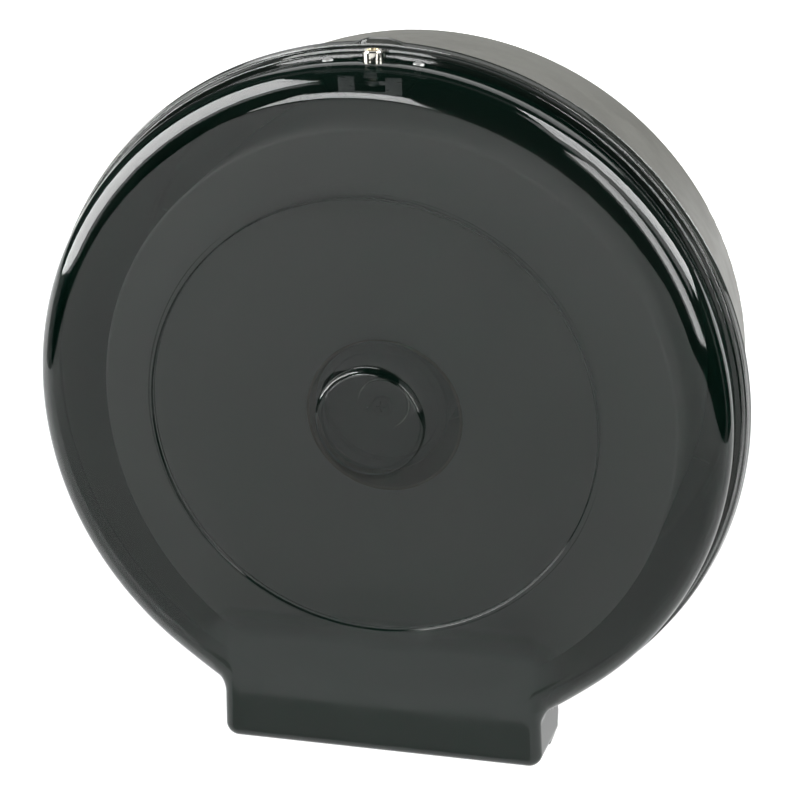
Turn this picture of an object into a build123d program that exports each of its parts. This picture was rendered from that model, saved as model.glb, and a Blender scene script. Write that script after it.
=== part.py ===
"""Wall-mounted dispenser for one jumbo toilet roll.

Millimetres, +Z up, the front faces -Y. The origin lies on the wall plane, in the middle of the
four wall screws, and the spindle's axis runs through it along Y. Depths are measured from the
cover's flat face back towards the wall.
"""
from build123d import *
from math import asin, cos, radians, sin, sqrt, tan
import os

# ---------------------------------------------------------------- driving dimensions
face_to_wall = 125.5          # cover's flat face to the wall

# front cover: one moulded shell, turned about the spindle's axis, with a spout
cover_wall = 2.6
open_past = 1.0               # hollows are cut this far past the edge that they open at
rim_r = 179.1                 # widest round, at the cover's back edge
rim_depth = 37.2              # back edge behind the flat face
boss_r = 27.3
boss_proud = 3.5              # boss stands this far in front of the flat face
boss_edge_r = 2.2
recess_r = 112.0              # shallow round recess round the boss
recess_depth = 1.4
recess_slope = 0.3            # its step is nearly upright
channel_drop = 5.9            # plain band behind the shoulder, below the rim
crest_lip = 1.0               # shoulder stands proud of the band
crest_back = 20.7             # shoulder ends this far in front of the rim
bulge_r = 15.0                # rounded shoulder between face and side
bead_radius = 1.5
front_bead_height = 3.0       # above the band
front_bead_back = 9.3         # in front of the rim
rear_bead_drop = 1.0          # below the rim
rear_bead_back = 6.0
rim_lead = 0.7
skirt_wall = 2.6              # rim skirt that laps over the housing
skirt_length = 6.2
tab_width = 26.0              # finger tab on the rim above the lock
tab_height = 1.6
tab_length = 5.0

# spout: open box below the round body
spout_half_width = 82.1       # at the round body's edge
spout_flare = 1.75            # degrees, each side
spout_draft = 1.2             # each side, from face to rim
spout_drop = 2.4              # bottom edge below the rim's round
spout_corner_r = 7.0
spout_edge_r = 5.0
spout_root = 27.0             # runs up inside the round body
spout_fill_r = 8.0            # hollow corner between spout and round body
spout_fill_depth = 2.0
spout_fill_window = 32.0      # square round each hollow corner that the filling is kept to
lip_depth = 6.6               # curled lip along the spout's front

# tear bar: toothed strip on the lip
tooth_pitch = 4.0
tooth_height = 3.0
tear_bar_teeth = 36
tear_bar_thickness = 1.3
tear_bar_front_gap = 0.4      # clears the rounded inner corner
tear_bar_bevel = 1.1
tear_bar_end = 3.0            # plain end beyond the last tooth
tear_bar_overhang = 1.7       # teeth beyond the lip
seat_gap = 0.05               # between parts that are bonded or clamped together

# hinge: pins in the housing's lugs carry blind bores in the cover's ears
hinge_front = 0.2             # axis in front of the rim
hinge_rise = 10.5             # axis above the spout's bottom edge
hinge_pin_r = 2.0
hinge_pin_head_r = 3.4
hinge_pin_head = 1.8
hinge_running_gap = 0.06
hinge_end_gap = 0.2
ear_r = 9.5
ear_inset = 0.5               # ear's outer face inside the spout wall's outer face at the join
ear_thickness = 5.2
ear_skin = 1.2                # closes the blind bore on the outside
ear_reach = 11.0              # how far the ear runs forward along the spout's wall
ear_side_gap = 0.5
lug_r = 7.5
lug_thickness = 6.5
lug_root_depth = 22.5         # lug's root behind the hinge
lug_back_angle = 37.0         # degrees below level, where the sloping back meets the round end

# back housing: round tray
housing_wall = 2.8
housing_lap = 5.6             # front edge inside the cover's skirt
housing_lap_gap = 1.1         # air between skirt and housing
housing_straight = 7.0        # untapered stretch under the cover's skirt
housing_taper = 11.4          # narrower at the wall
housing_corner_r = 6.0
dish_r = 56.0                 # middle of the back plate is raised off the wall
dish_height = 4.0
dish_slope = 4.0
rib_count = 8
rib_width = 2.4
rib_height = 2.0
rib_start = 2.0               # beyond the raised middle
ring_rib_r = 118.0
outlet_half_width = 64.0      # paper outlet in the tray's bottom
outlet_back = 9.5             # in front of the wall
outlet_lip = 2.5
outlet_lip_drop = 9.4         # lips end this far above the front edge's lowest round
outlet_lip_start = 9.8        # behind the rim
wall_screw_x = 152.4          # slot pitch across
wall_screw_z = 127.0          # slot pitch up and down
wall_slot_r = 2.75
wall_slot_length = 14.0
slot_pad = 3.0
slot_pad_height = 1.0

# spindle, hub and roll
post_r = 8.0
post_root_r = 15.0
post_root_length = 14.0
flange_r = 44.0
flange_thickness = 3.0
spindle_screw_circle_r = 30.0
spindle_screw_r = 2.0
spindle_screw_head_r = 4.0
spindle_screw_length = 8.0
spindle_screw_count = 4
spindle_screw_start = 45.0    # degrees round from the level
countersink = 45.0            # degrees
screw_boss_r = 4.4
pilot_end_gap = 0.5           # pilot holes run deeper than their screws
roll_front_depth = 25.0
roll_back_gap = 0.7           # roll's back to the flange
roll_room = 15.2              # full roll's edge to the housing's inside at the wall
roll_edge_r = 1.0
hub_r = 31.2
hub_wall = 2.4
hub_lip_height = 2.2
hub_lip_length = 3.0
hub_lip_gap = 2.0             # hub's lip to the roll's front
hub_web_back = 1.0            # web's front behind the roll's front
hub_ribs = 6
hub_rib_width = 2.0
hub_tube_wall = 2.5
hub_end_gap = 1.5             # hub's back end to the flange
hub_edge_r = 0.7
bush_wall = 2.4
bush_length = 10.0
bush_flange = 1.0
bush_running_gap = 0.05
washer_r = 12.5
washer_thickness = 1.3
washer_gap = 0.25             # washer to the bush, so the hub turns freely
hub_screw_r = 2.5
hub_screw_head_r = 5.0
hub_screw_head = 3.0
hub_screw_edge_r = 1.2
hub_screw_length = 22.0
hub_screw_slot_length = 5.5
hub_screw_slot_width = 1.1
hub_screw_slot_depth = 1.6
core_room = 6.9               # core's bore beyond the hub, all round
core_wall = 1.65
hang_gap = 0.3                # roll core over the top of the hub

# cam lock on the cover's top
lock_back = 7.0               # lock's axis behind the shoulder's end
pad_height = 0.6              # flat pad for the lock above the plain band
pad_half_width = 9.5
pad_slope = 7.0
barrel_r = 4.2
barrel_head_r = 4.8
barrel_head_height = 4.4
barrel_edge = 0.6
barrel_length = 9.2           # below the pad
barrel_hole_gap = 0.1
spot_face_gap = 0.35          # round the barrel's head
plug_r = 2.9
plug_running_gap = 0.05
plug_recess = 0.3
keyway_width = 1.2
keyway_length = 4.0
keyway_depth = 6.0
tang_width = 3.6
tang_gap = 0.05
cam_thickness = 2.0
cam_length = 15.5
cam_half_width = 3.5
cam_tip_r = 1.7
cam_eye_r = 5.0
cam_top_gap = 0.3
cam_screw_r = 1.2
cam_screw_head_r = 2.6
cam_screw_head = 1.3
cam_screw_edge_r = 0.5
cam_screw_length = 6.0
nut_across_flats = 11.0
nut_thickness = 2.8
bracket_thickness = 1.6
bracket_half_angle = 9.2      # degrees round the rim
bracket_width = 12.0
rivet_offset = 22.1
rivet_shank_r = 1.5
rivet_head_r = 2.7
rivet_head_height = 1.3
rivet_head_taper = 30.0       # degrees
rivet_tail_r = 2.3
rivet_tail_height = 0.8

# keeper on the housing, which the cam hooks behind
keeper_thickness = 1.6
keeper_drop = 3.1             # plate's top below the cam
keeper_tab_rise = 2.5         # tab's top above the cam
keeper_tab_gap = 1.3          # cam's front side to the tab
keeper_notch_gap = 4.0        # each side of the turned cam
keeper_notch_floor = 0.6      # above the keeper's plate
keeper_block_back = 6.8       # block's front behind the rim
keeper_block_length = 14.0
keeper_screw_x = 9.0
keeper_screw_r = 1.8
keeper_screw_gap = 0.1
keeper_screw_head_r = 3.2
keeper_screw_head = 2.0
keeper_screw_taper = 15.0     # degrees
keeper_screw_length = 9.0


# ---------------------------------------------------------------- derived sizes
channel_r = rim_r - channel_drop
crest_depth = rim_depth - crest_back
crest_r = channel_r + crest_lip
front_bead_r = channel_r + front_bead_height
front_bead_depth = rim_depth - front_bead_back
rear_bead_r = rim_r - rear_bead_drop
rear_bead_depth = rim_depth - rear_bead_back
channel_in_r = channel_r - cover_wall
recess_in_r = recess_r + cover_wall
skirt_in_r = rim_r - skirt_wall
skirt_start = rim_depth - skirt_length

spout_bottom = -rim_r - spout_drop
spout_join_z = -sqrt(crest_r**2 - spout_half_width**2)
spout_root_z = spout_join_z + spout_root
lip_top = spout_bottom + cover_wall
tear_bar_reach = lip_depth + tear_bar_overhang

hinge_depth = rim_depth - hinge_front
hinge_z = spout_bottom + hinge_rise
ear_outer_x = spout_half_width + ear_inset
ear_inner_x = ear_outer_x - ear_thickness
lug_outer_x = ear_inner_x - ear_side_gap
lug_inner_x = lug_outer_x - lug_thickness
mouth_half_width = ear_inner_x

back_plate = housing_wall
housing_front_r = skirt_in_r - housing_lap_gap
housing_back_r = housing_front_r - housing_taper
housing_front_depth = rim_depth - housing_lap
taper_start = housing_front_depth + housing_straight
dish_front = -dish_height - back_plate               # Y of the raised middle's front face
rib_inner_r = dish_r + dish_slope + rib_start
outlet_back_depth = face_to_wall - outlet_back
outlet_lip_z = outlet_lip_drop - housing_front_r
outlet_lip_front_depth = rim_depth + outlet_lip_start

flange_front = dish_front - flange_thickness
roll_width = face_to_wall + flange_front - roll_back_gap - roll_front_depth
roll_r = housing_back_r - housing_wall - roll_room
core_bore_r = hub_r + core_room
roll_axis_z = hub_r + hang_gap - core_bore_r
hub_lip_r = hub_r + hub_lip_height
hub_front_depth = roll_front_depth - hub_lip_gap - hub_lip_length
hub_web_depth = roll_front_depth + hub_web_back
hub_back = flange_front - hub_end_gap
post_end_depth = hub_web_depth - bush_flange - washer_gap
bush_in_r = post_r + bush_running_gap
bush_out_r = bush_in_r + bush_wall
tube_in_r = bush_out_r + seat_gap / 2
tube_out_r = tube_in_r + hub_tube_wall

lock_depth = crest_depth + lock_back
pad_top = channel_r + pad_height
barrel_bottom = pad_top - barrel_length
plug_top = pad_top + barrel_head_height - plug_recess
cam_top = barrel_bottom - cam_top_gap
cam_bottom = cam_top - cam_thickness
bracket_out_r = channel_in_r - seat_gap
bracket_in_r = bracket_out_r - bracket_thickness
bracket_front_depth = lock_depth - bracket_width / 2
nut_top = bracket_in_r - seat_gap - nut_across_flats**2 / (8 * bracket_in_r)

keeper_top = cam_bottom - keeper_drop
keeper_bottom = keeper_top - keeper_thickness
keeper_tab_top = cam_top + keeper_tab_rise
keeper_tab_depth = lock_depth - cam_half_width - keeper_tab_gap - keeper_thickness
keeper_notch_half = cam_half_width + keeper_notch_gap
keeper_half_width = cam_length
keeper_block_front_depth = rim_depth + keeper_block_back
keeper_back_depth = keeper_block_front_depth + keeper_block_length
keeper_block_depth = (keeper_block_front_depth + keeper_back_depth) / 2


# ---------------------------------------------------------------- planes
def y_at(depth):
    """Y of a plane that lies this far behind the cover's flat face."""
    return depth - face_to_wall


def front_plane(depth):
    """Upright plane at a depth, drawn as seen from the front: X to the right, Z up."""
    return Plane(origin=(0, y_at(depth), 0), x_dir=(1, 0, 0), z_dir=(0, -1, 0))


def level_plane(z):
    """Level plane at a height, seen from above."""
    return Plane.XY.offset(z)


lock_y = y_at(lock_depth)


def rivet_plane(side, radius):
    """Plane across a lock rivet at a distance from the spindle's axis."""
    angle = asin(rivet_offset / channel_r)
    outward = (side * sin(angle), 0, cos(angle))
    return Plane(origin=(0, lock_y, 0), x_dir=(0, 1, 0), z_dir=outward).offset(radius)


def spout_half_at(z):
    """Half width of the spout's outside at a height, on the face."""
    return spout_half_width + (spout_join_z - z) * tan(radians(spout_flare))


# ---------------------------------------------------------------- front cover
def spout_corners(depth, inset):
    """Corners of the spout's front-view outline at a depth, drawn in by a wall thickness."""
    side = spout_draft * depth / rim_depth - inset
    bottom = spout_bottom + inset
    top_x = spout_half_at(spout_root_z) + side
    bottom_x = spout_half_at(bottom) + side
    return [(-top_x, spout_root_z), (-bottom_x, bottom), (bottom_x, bottom), (top_x, spout_root_z)]


def spout_outline(depth, inset):
    """Front-view outline of the spout at a depth, its bottom corners rounded."""
    with BuildSketch(front_plane(depth)) as outline:
        with BuildLine():
            Polyline(*spout_corners(depth, inset), close=True)
        make_face()
        fillet(outline.vertices().group_by(Axis.Y)[0], spout_corner_r - inset)
    return outline.sketch


def spout_body(inset, front, back, edge_radius):
    """Solid of the spout between two depths, its front edges rounded."""
    near, far = spout_outline(front, inset), spout_outline(back, inset)
    with BuildPart() as body:
        add(near)
        add(far)
        loft()
        front_edges = body.faces().sort_by(Axis.Y)[0].edges().sort_by(Axis.Z)[:-1]
        fillet(front_edges, edge_radius)
    return body.part


spout_outside = spout_body(0, 0, rim_depth, spout_edge_r)
spout_inside = spout_body(cover_wall, cover_wall, rim_depth + open_past, spout_edge_r - cover_wall)

# rounds off the hollow corners where the spout leaves the round body
with BuildPart() as spout_fill:
    with BuildSketch(front_plane(spout_fill_depth)) as fill_outline:
        Circle(crest_r)
        with BuildLine():
            Polyline(*spout_corners(crest_depth, 0), close=True)
        make_face()
        junctions = fill_outline.vertices().filter_by_position(Axis.Y, -crest_r, spout_root_z, (False, False))
        fillet(junctions, spout_fill_r)
        with GridLocations(2 * spout_half_width, 0, 2, 1):
            with Locations((0, spout_join_z - spout_fill_r / 2)):
                Rectangle(spout_fill_window, spout_fill_window, mode=Mode.INTERSECT)
    extrude(amount=spout_fill_depth - front_bead_depth)

with BuildPart() as front_cover:
    with BuildSketch(Plane.XY):
        with BuildLine():
            Polyline(
                (0, y_at(rim_depth)),
                (0, y_at(-boss_proud)),
                (boss_r - boss_edge_r, y_at(-boss_proud)),
            )
            CenterArc((boss_r - boss_edge_r, y_at(boss_edge_r - boss_proud)), boss_edge_r, -90, 90)
            Polyline(
                (boss_r, y_at(boss_edge_r - boss_proud)),
                (boss_r, y_at(recess_depth)),
                (recess_r - recess_slope, y_at(recess_depth)),
                (recess_r, y_at(0)),
                (crest_r - bulge_r, y_at(0)),
            )
            CenterArc((crest_r - bulge_r, y_at(bulge_r)), bulge_r, -90, 90)
            Polyline(
                (crest_r, y_at(bulge_r)),
                (crest_r, y_at(crest_depth)),
                (channel_r, y_at(crest_depth + crest_r - channel_r)),
                (channel_r, y_at(front_bead_depth - bead_radius)),
                (front_bead_r - bead_radius, y_at(front_bead_depth - bead_radius)),
            )
            CenterArc((front_bead_r - bead_radius, y_at(front_bead_depth)), bead_radius, -90, 180)
            Line(
                (front_bead_r - bead_radius, y_at(front_bead_depth + bead_radius)),
                (rear_bead_r - bead_radius, y_at(rear_bead_depth - bead_radius)),
            )
            CenterArc((rear_bead_r - bead_radius, y_at(rear_bead_depth)), bead_radius, -90, 180)
            Polyline(
                (rear_bead_r - bead_radius, y_at(rear_bead_depth + bead_radius)),
                (rim_r, y_at(rear_bead_depth + bead_radius + rim_lead)),
                (rim_r, y_at(rim_depth)),
                (0, y_at(rim_depth)),
            )
        make_face()
    revolve(axis=Axis.Y)
    add(spout_outside)
    # flat pad that the lock stands on
    with BuildSketch(front_plane(crest_depth)):
        with BuildLine():
            Polyline(
                (-pad_half_width - pad_slope, channel_in_r),
                (-pad_half_width, pad_top),
                (pad_half_width, pad_top),
                (pad_half_width + pad_slope, channel_in_r),
                close=True,
            )
        make_face()
    extrude(amount=-(front_bead_depth - crest_depth))
    # finger tab on the rim
    with BuildSketch(front_plane(rim_depth - tab_length)) as tab_outline:
        with Locations((0, rim_r)):
            Rectangle(tab_width, 2 * tab_height)
        fillet(tab_outline.vertices().group_by(Axis.Y)[-1], tab_height - seat_gap)
    extrude(amount=-tab_length)
    # hollow of the round body
    with BuildSketch(Plane.XY):
        with BuildLine():
            Polyline(
                (crest_r - bulge_r, y_at(cover_wall)),
                (recess_in_r, y_at(cover_wall)),
                (recess_in_r - recess_slope, y_at(recess_depth + cover_wall)),
                (boss_r - cover_wall, y_at(recess_depth + cover_wall)),
                (boss_r - cover_wall, y_at(cover_wall - boss_proud)),
                (0, y_at(cover_wall - boss_proud)),
                (0, y_at(rim_depth + open_past)),
                (skirt_in_r, y_at(rim_depth + open_past)),
                (skirt_in_r, y_at(skirt_start)),
                (channel_in_r, y_at(rear_bead_depth - bead_radius)),
                (channel_in_r, y_at(crest_depth)),
                (crest_r - cover_wall, y_at(bulge_r)),
            )
            CenterArc((crest_r - bulge_r, y_at(bulge_r)), bulge_r - cover_wall, -90, 90)
        make_face()
    revolve(axis=Axis.Y, mode=Mode.SUBTRACT)
    # hollow of the spout, and its mouth between the curled edges
    add(spout_inside, mode=Mode.SUBTRACT)
    with BuildSketch(level_plane(lip_top + cover_wall)):
        with Locations((0, y_at((lip_depth + rim_depth + open_past) / 2))):
            Rectangle(2 * mouth_half_width, rim_depth + open_past - lip_depth)
    extrude(amount=spout_bottom - lip_top - 2 * cover_wall, mode=Mode.SUBTRACT)
    # hinge ears at the back of the spout's side walls
    for side in (-1, 1):
        near_x = ear_inner_x if side > 0 else -ear_outer_x
        with BuildSketch(Plane.YZ.offset(near_x)):
            with Locations((y_at(hinge_depth), hinge_z)):
                Circle(ear_r)
            with Locations((y_at(hinge_depth - ear_reach / 2), hinge_z)):
                Rectangle(ear_reach, 2 * ear_r)
        extrude(amount=ear_thickness)
        bore_x = ear_inner_x if side > 0 else -ear_outer_x + ear_skin
        with BuildSketch(Plane.YZ.offset(bore_x)):
            with Locations((y_at(hinge_depth), hinge_z)):
                Circle(hinge_pin_r + hinge_running_gap)
        extrude(amount=ear_thickness - ear_skin, mode=Mode.SUBTRACT)
    # holes for the lock and its rivets
    with BuildSketch(level_plane(bracket_in_r)):
        with Locations((0, lock_y)):
            Circle(barrel_r + barrel_hole_gap)
    extrude(amount=crest_r - bracket_in_r + cover_wall, mode=Mode.SUBTRACT)
    for side in (-1, 1):
        with BuildSketch(rivet_plane(side, bracket_in_r)):
            Circle(rivet_shank_r)
        extrude(amount=crest_r - bracket_in_r, mode=Mode.SUBTRACT)
    with BuildSketch(level_plane(pad_top)):
        with Locations((0, lock_y)):
            Circle(barrel_head_r + spot_face_gap)
    extrude(amount=rear_bead_r - pad_top, mode=Mode.SUBTRACT)
front_cover.part.label = "front_cover"

# ---------------------------------------------------------------- tear bar
with BuildPart() as tear_bar:
    toothed_half = tear_bar_teeth * tooth_pitch / 2
    bar_half = toothed_half + tear_bar_end
    seat_z = lip_top + seat_gap
    with BuildSketch(Plane.YZ.offset(-bar_half)):
        with BuildLine():
            Polyline(
                (y_at(cover_wall + tear_bar_front_gap), seat_z + tear_bar_thickness),
                (y_at(cover_wall + tear_bar_front_gap), seat_z + tear_bar_bevel),
                (y_at(spout_edge_r + seat_gap), seat_z),
                (y_at(tear_bar_reach), seat_z),
                (y_at(tear_bar_reach), seat_z + tear_bar_thickness),
                close=True,
            )
        make_face()
    extrude(amount=2 * bar_half)
    # gaps between the teeth
    with BuildSketch(level_plane(seat_z)):
        with BuildLine():
            Polyline(
                (-toothed_half, y_at(tear_bar_reach + tooth_height)),
                *[
                    (i * tooth_pitch / 2 - toothed_half, y_at(tear_bar_reach - tooth_height * (i % 2)))
                    for i in range(2 * tear_bar_teeth + 1)
                ],
                (toothed_half, y_at(tear_bar_reach + tooth_height)),
                close=True,
            )
        make_face()
    extrude(amount=tear_bar_thickness, mode=Mode.SUBTRACT)
tear_bar.part.label = "tear_bar"

# ---------------------------------------------------------------- back housing
with BuildPart() as tray_outside:
    with BuildSketch(Plane.XY):
        with BuildLine():
            Polyline(
                (housing_back_r - housing_corner_r, 0),
                (0, 0),
                (0, y_at(housing_front_depth)),
                (housing_front_r, y_at(housing_front_depth)),
                (housing_front_r, y_at(taper_start)),
                (housing_back_r, -housing_corner_r),
            )
            CenterArc((housing_back_r - housing_corner_r, -housing_corner_r), housing_corner_r, 0, 90)
        make_face()
    revolve(axis=Axis.Y)

with BuildPart() as keeper_block:
    with BuildSketch(level_plane(keeper_top)):
        with Locations((0, y_at(keeper_block_depth))):
            Rectangle(2 * keeper_half_width, keeper_block_length)
    extrude(amount=housing_front_r - keeper_top)
    add(tray_outside.part, mode=Mode.INTERSECT)

with BuildPart() as back_housing:
    add(tray_outside.part)
    for side in (-1, 1):
        # hinge lugs under the tray
        near_x = lug_inner_x if side > 0 else -lug_outer_x
        with BuildSketch(Plane.YZ.offset(near_x)):
            with Locations((y_at(hinge_depth), hinge_z)):
                Circle(lug_r)
            with BuildLine():
                Polyline(
                    (y_at(hinge_depth) - lug_r, hinge_z),
                    (y_at(housing_front_depth), spout_join_z),
                    (y_at(hinge_depth + lug_root_depth), spout_join_z),
                    (y_at(hinge_depth) + lug_r * cos(radians(lug_back_angle)),
                     hinge_z - lug_r * sin(radians(lug_back_angle))),
                    close=True,
                )
            make_face()
        extrude(amount=lug_thickness)
        # lips beside the paper outlet
        lip_x = outlet_half_width if side > 0 else -outlet_half_width - outlet_lip
        with BuildSketch(Plane.YZ.offset(lip_x)):
            with BuildLine():
                Polyline(
                    (y_at(outlet_lip_front_depth), spout_join_z),
                    (y_at(outlet_lip_front_depth), outlet_lip_z),
                    (y_at(outlet_back_depth) - outlet_lip, outlet_lip_z),
                    (y_at(outlet_back_depth) + outlet_lip, spout_join_z),
                    close=True,
                )
            make_face()
        extrude(amount=outlet_lip)
    # hollow of the tray
    with BuildSketch(Plane.XY):
        with BuildLine():
            Polyline(
                (housing_back_r - housing_corner_r, -back_plate),
                (0, -back_plate),
                (0, y_at(housing_front_depth - open_past)),
                (housing_front_r - housing_wall, y_at(housing_front_depth - open_past)),
                (housing_front_r - housing_wall, y_at(taper_start)),
                (housing_back_r - housing_wall, -housing_corner_r),
            )
            CenterArc(
                (housing_back_r - housing_corner_r, -housing_corner_r), housing_corner_r - back_plate, 0, 90
            )
        make_face()
    revolve(axis=Axis.Y, mode=Mode.SUBTRACT)
    # raised middle of the back plate
    with BuildSketch(Plane.XY):
        with BuildLine():
            Polyline(
                (0, -back_plate),
                (0, dish_front),
                (dish_r, dish_front),
                (dish_r + dish_slope, -back_plate),
                close=True,
            )
        make_face()
    revolve(axis=Axis.Y)
    with BuildSketch(Plane.XY):
        with BuildLine():
            Polyline(
                (0, 0),
                (0, -dish_height),
                (dish_r - back_plate, -dish_height),
                (dish_r + dish_slope - back_plate, 0),
                close=True,
            )
        make_face()
    revolve(axis=Axis.Y, mode=Mode.SUBTRACT)
    # bosses for the spindle's screws, in the hollow behind the raised middle
    with BuildSketch(Plane(origin=(0, -dish_height, 0), x_dir=(1, 0, 0), z_dir=(0, 1, 0))):
        with PolarLocations(spindle_screw_circle_r, spindle_screw_count, spindle_screw_start):
            Circle(screw_boss_r)
    extrude(amount=dish_height - seat_gap)
    # stiffening ribs on the back plate's inside
    with BuildSketch(Plane(origin=(0, -back_plate, 0), x_dir=(1, 0, 0), z_dir=(0, -1, 0))):
        rib_length = housing_back_r - housing_corner_r - rib_inner_r
        with PolarLocations(rib_inner_r + rib_length / 2, rib_count, 180 / rib_count):
            Rectangle(rib_length, rib_width)
        with BuildSketch(mode=Mode.PRIVATE) as ring:
            Circle(ring_rib_r + rib_width / 2)
            Circle(ring_rib_r - rib_width / 2, mode=Mode.SUBTRACT)
        add(ring.sketch)
        with GridLocations(wall_screw_x, wall_screw_z, 2, 2):
            SlotOverall(wall_slot_length + 2 * slot_pad, 2 * (wall_slot_r + slot_pad), mode=Mode.SUBTRACT)
    extrude(amount=rib_height)
    with BuildSketch(Plane(origin=(0, -back_plate, 0), x_dir=(1, 0, 0), z_dir=(0, -1, 0))):
        with GridLocations(wall_screw_x, wall_screw_z, 2, 2):
            SlotOverall(wall_slot_length + 2 * slot_pad, 2 * (wall_slot_r + slot_pad))
    extrude(amount=slot_pad_height)
    with BuildSketch(Plane(origin=(0, 0, 0), x_dir=(1, 0, 0), z_dir=(0, -1, 0))):
        with GridLocations(wall_screw_x, wall_screw_z, 2, 2):
            SlotOverall(wall_slot_length, 2 * wall_slot_r)
    extrude(amount=back_plate + slot_pad_height, mode=Mode.SUBTRACT)
    # pilot holes for the spindle's screws
    with BuildSketch(Plane(origin=(0, dish_front, 0), x_dir=(1, 0, 0), z_dir=(0, 1, 0))):
        with PolarLocations(spindle_screw_circle_r, spindle_screw_count, spindle_screw_start):
            Circle(spindle_screw_r)
    extrude(amount=spindle_screw_length - flange_thickness + pilot_end_gap, mode=Mode.SUBTRACT)
    # block under the tray's top for the keeper
    add(keeper_block)
    with BuildSketch(level_plane(keeper_top)):
        with Locations((0, y_at(keeper_block_depth))):
            with GridLocations(2 * keeper_screw_x, 0, 2, 1):
                Circle(keeper_screw_r)
    extrude(amount=keeper_screw_length - keeper_thickness + pilot_end_gap, mode=Mode.SUBTRACT)
    # paper outlet through the tray's bottom
    with BuildSketch(level_plane(spout_root_z)):
        with Locations((0, y_at((housing_front_depth - open_past + outlet_back_depth) / 2))):
            Rectangle(2 * outlet_half_width, outlet_back_depth - housing_front_depth + open_past)
    extrude(amount=spout_bottom - spout_root_z, mode=Mode.SUBTRACT)
    # bores for the hinge pins
    for near_x in (lug_inner_x, -lug_outer_x):
        with BuildSketch(Plane.YZ.offset(near_x)):
            with Locations((y_at(hinge_depth), hinge_z)):
                Circle(hinge_pin_r)
        extrude(amount=lug_thickness, mode=Mode.SUBTRACT)
back_housing.part.label = "back_housing"

# ---------------------------------------------------------------- hinge pins
with BuildPart() as hinge_pins:
    for side in (-1, 1):
        outward = Plane(
            origin=(side * lug_inner_x, y_at(hinge_depth), hinge_z), x_dir=(0, 1, 0), z_dir=(side, 0, 0)
        )
        with BuildSketch(outward):
            Circle(hinge_pin_r)
        extrude(amount=ear_outer_x - ear_skin - hinge_end_gap - lug_inner_x)
        with BuildSketch(outward):
            Circle(hinge_pin_head_r)
        extrude(amount=-hinge_pin_head)
hinge_pins.part.label = "hinge_pins"

# ---------------------------------------------------------------- spindle
with BuildPart() as spindle_post:
    with BuildSketch(Plane.XY):
        with BuildLine():
            Polyline(
                (0, dish_front),
                (flange_r, dish_front),
                (flange_r, flange_front),
                (post_root_r, flange_front),
                (post_r, flange_front - post_root_length),
                (post_r, y_at(post_end_depth)),
                (0, y_at(post_end_depth)),
                close=True,
            )
        make_face()
    revolve(axis=Axis.Y)
    with BuildSketch(front_plane(post_end_depth)):
        Circle(hub_screw_r)
    extrude(amount=-hub_screw_length, mode=Mode.SUBTRACT)
    with BuildSketch(Plane(origin=(0, flange_front, 0), x_dir=(1, 0, 0), z_dir=(0, -1, 0))) as heads:
        with PolarLocations(spindle_screw_circle_r, spindle_screw_count, spindle_screw_start):
            Circle(spindle_screw_head_r)
    extrude(amount=-(spindle_screw_head_r - spindle_screw_r), taper=countersink, mode=Mode.SUBTRACT)
    with BuildSketch(Plane(origin=(0, flange_front, 0), x_dir=(1, 0, 0), z_dir=(0, -1, 0))):
        with PolarLocations(spindle_screw_circle_r, spindle_screw_count, spindle_screw_start):
            Circle(spindle_screw_r)
    extrude(amount=-flange_thickness, mode=Mode.SUBTRACT)
spindle_post.part.label = "spindle_post"

with BuildPart() as spindle_screws:
    with BuildSketch(Plane(origin=(0, flange_front, 0), x_dir=(1, 0, 0), z_dir=(0, -1, 0))):
        with PolarLocations(spindle_screw_circle_r, spindle_screw_count, spindle_screw_start):
            Circle(spindle_screw_head_r - seat_gap)
    extrude(amount=-(spindle_screw_head_r - spindle_screw_r), taper=countersink)
    with BuildSketch(Plane(origin=(0, flange_front, 0), x_dir=(1, 0, 0), z_dir=(0, -1, 0))):
        with PolarLocations(spindle_screw_circle_r, spindle_screw_count, spindle_screw_start):
            Circle(spindle_screw_r - seat_gap)
    extrude(amount=-spindle_screw_length)
spindle_screws.part.label = "spindle_screws"

with BuildPart() as roll_hub:
    with BuildSketch(Plane.XY):
        with BuildLine():
            Polyline(
                (hub_r - hub_wall, y_at(hub_front_depth)),
                (hub_lip_r, y_at(hub_front_depth)),
                (hub_lip_r, y_at(hub_front_depth + hub_lip_length)),
                (hub_r, y_at(hub_front_depth + hub_lip_length)),
                (hub_r, hub_back),
                (hub_r - hub_wall, hub_back),
                close=True,
            )
        make_face()
        with BuildLine():
            Polyline(
                (tube_in_r, y_at(hub_web_depth)),
                (hub_r - hub_wall / 2, y_at(hub_web_depth)),
                (hub_r - hub_wall / 2, y_at(hub_web_depth) + hub_wall),
                (tube_out_r, y_at(hub_web_depth) + hub_wall),
                (tube_out_r, hub_back - post_root_length),
                (tube_in_r, hub_back - post_root_length),
                close=True,
            )
        make_face()
    revolve(axis=Axis.Y)
    hub_web_middle = (0, y_at(hub_web_depth) + hub_wall / 2, 0)
    with BuildSketch(Plane(origin=hub_web_middle, x_dir=(1, 0, 0), z_dir=(0, 1, 0))):
        rib_span = hub_r - hub_wall / 2 - (tube_out_r - hub_tube_wall / 2)
        with PolarLocations(tube_out_r - hub_tube_wall / 2 + rib_span / 2, hub_ribs):
            Rectangle(rib_span, hub_rib_width)
    extrude(amount=hub_back - post_root_length - y_at(hub_web_depth) - hub_wall / 2)
    fillet(roll_hub.edges().filter_by(GeomType.CIRCLE).group_by(Axis.Y)[0], hub_edge_r)
roll_hub.part.label = "roll_hub"

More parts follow.
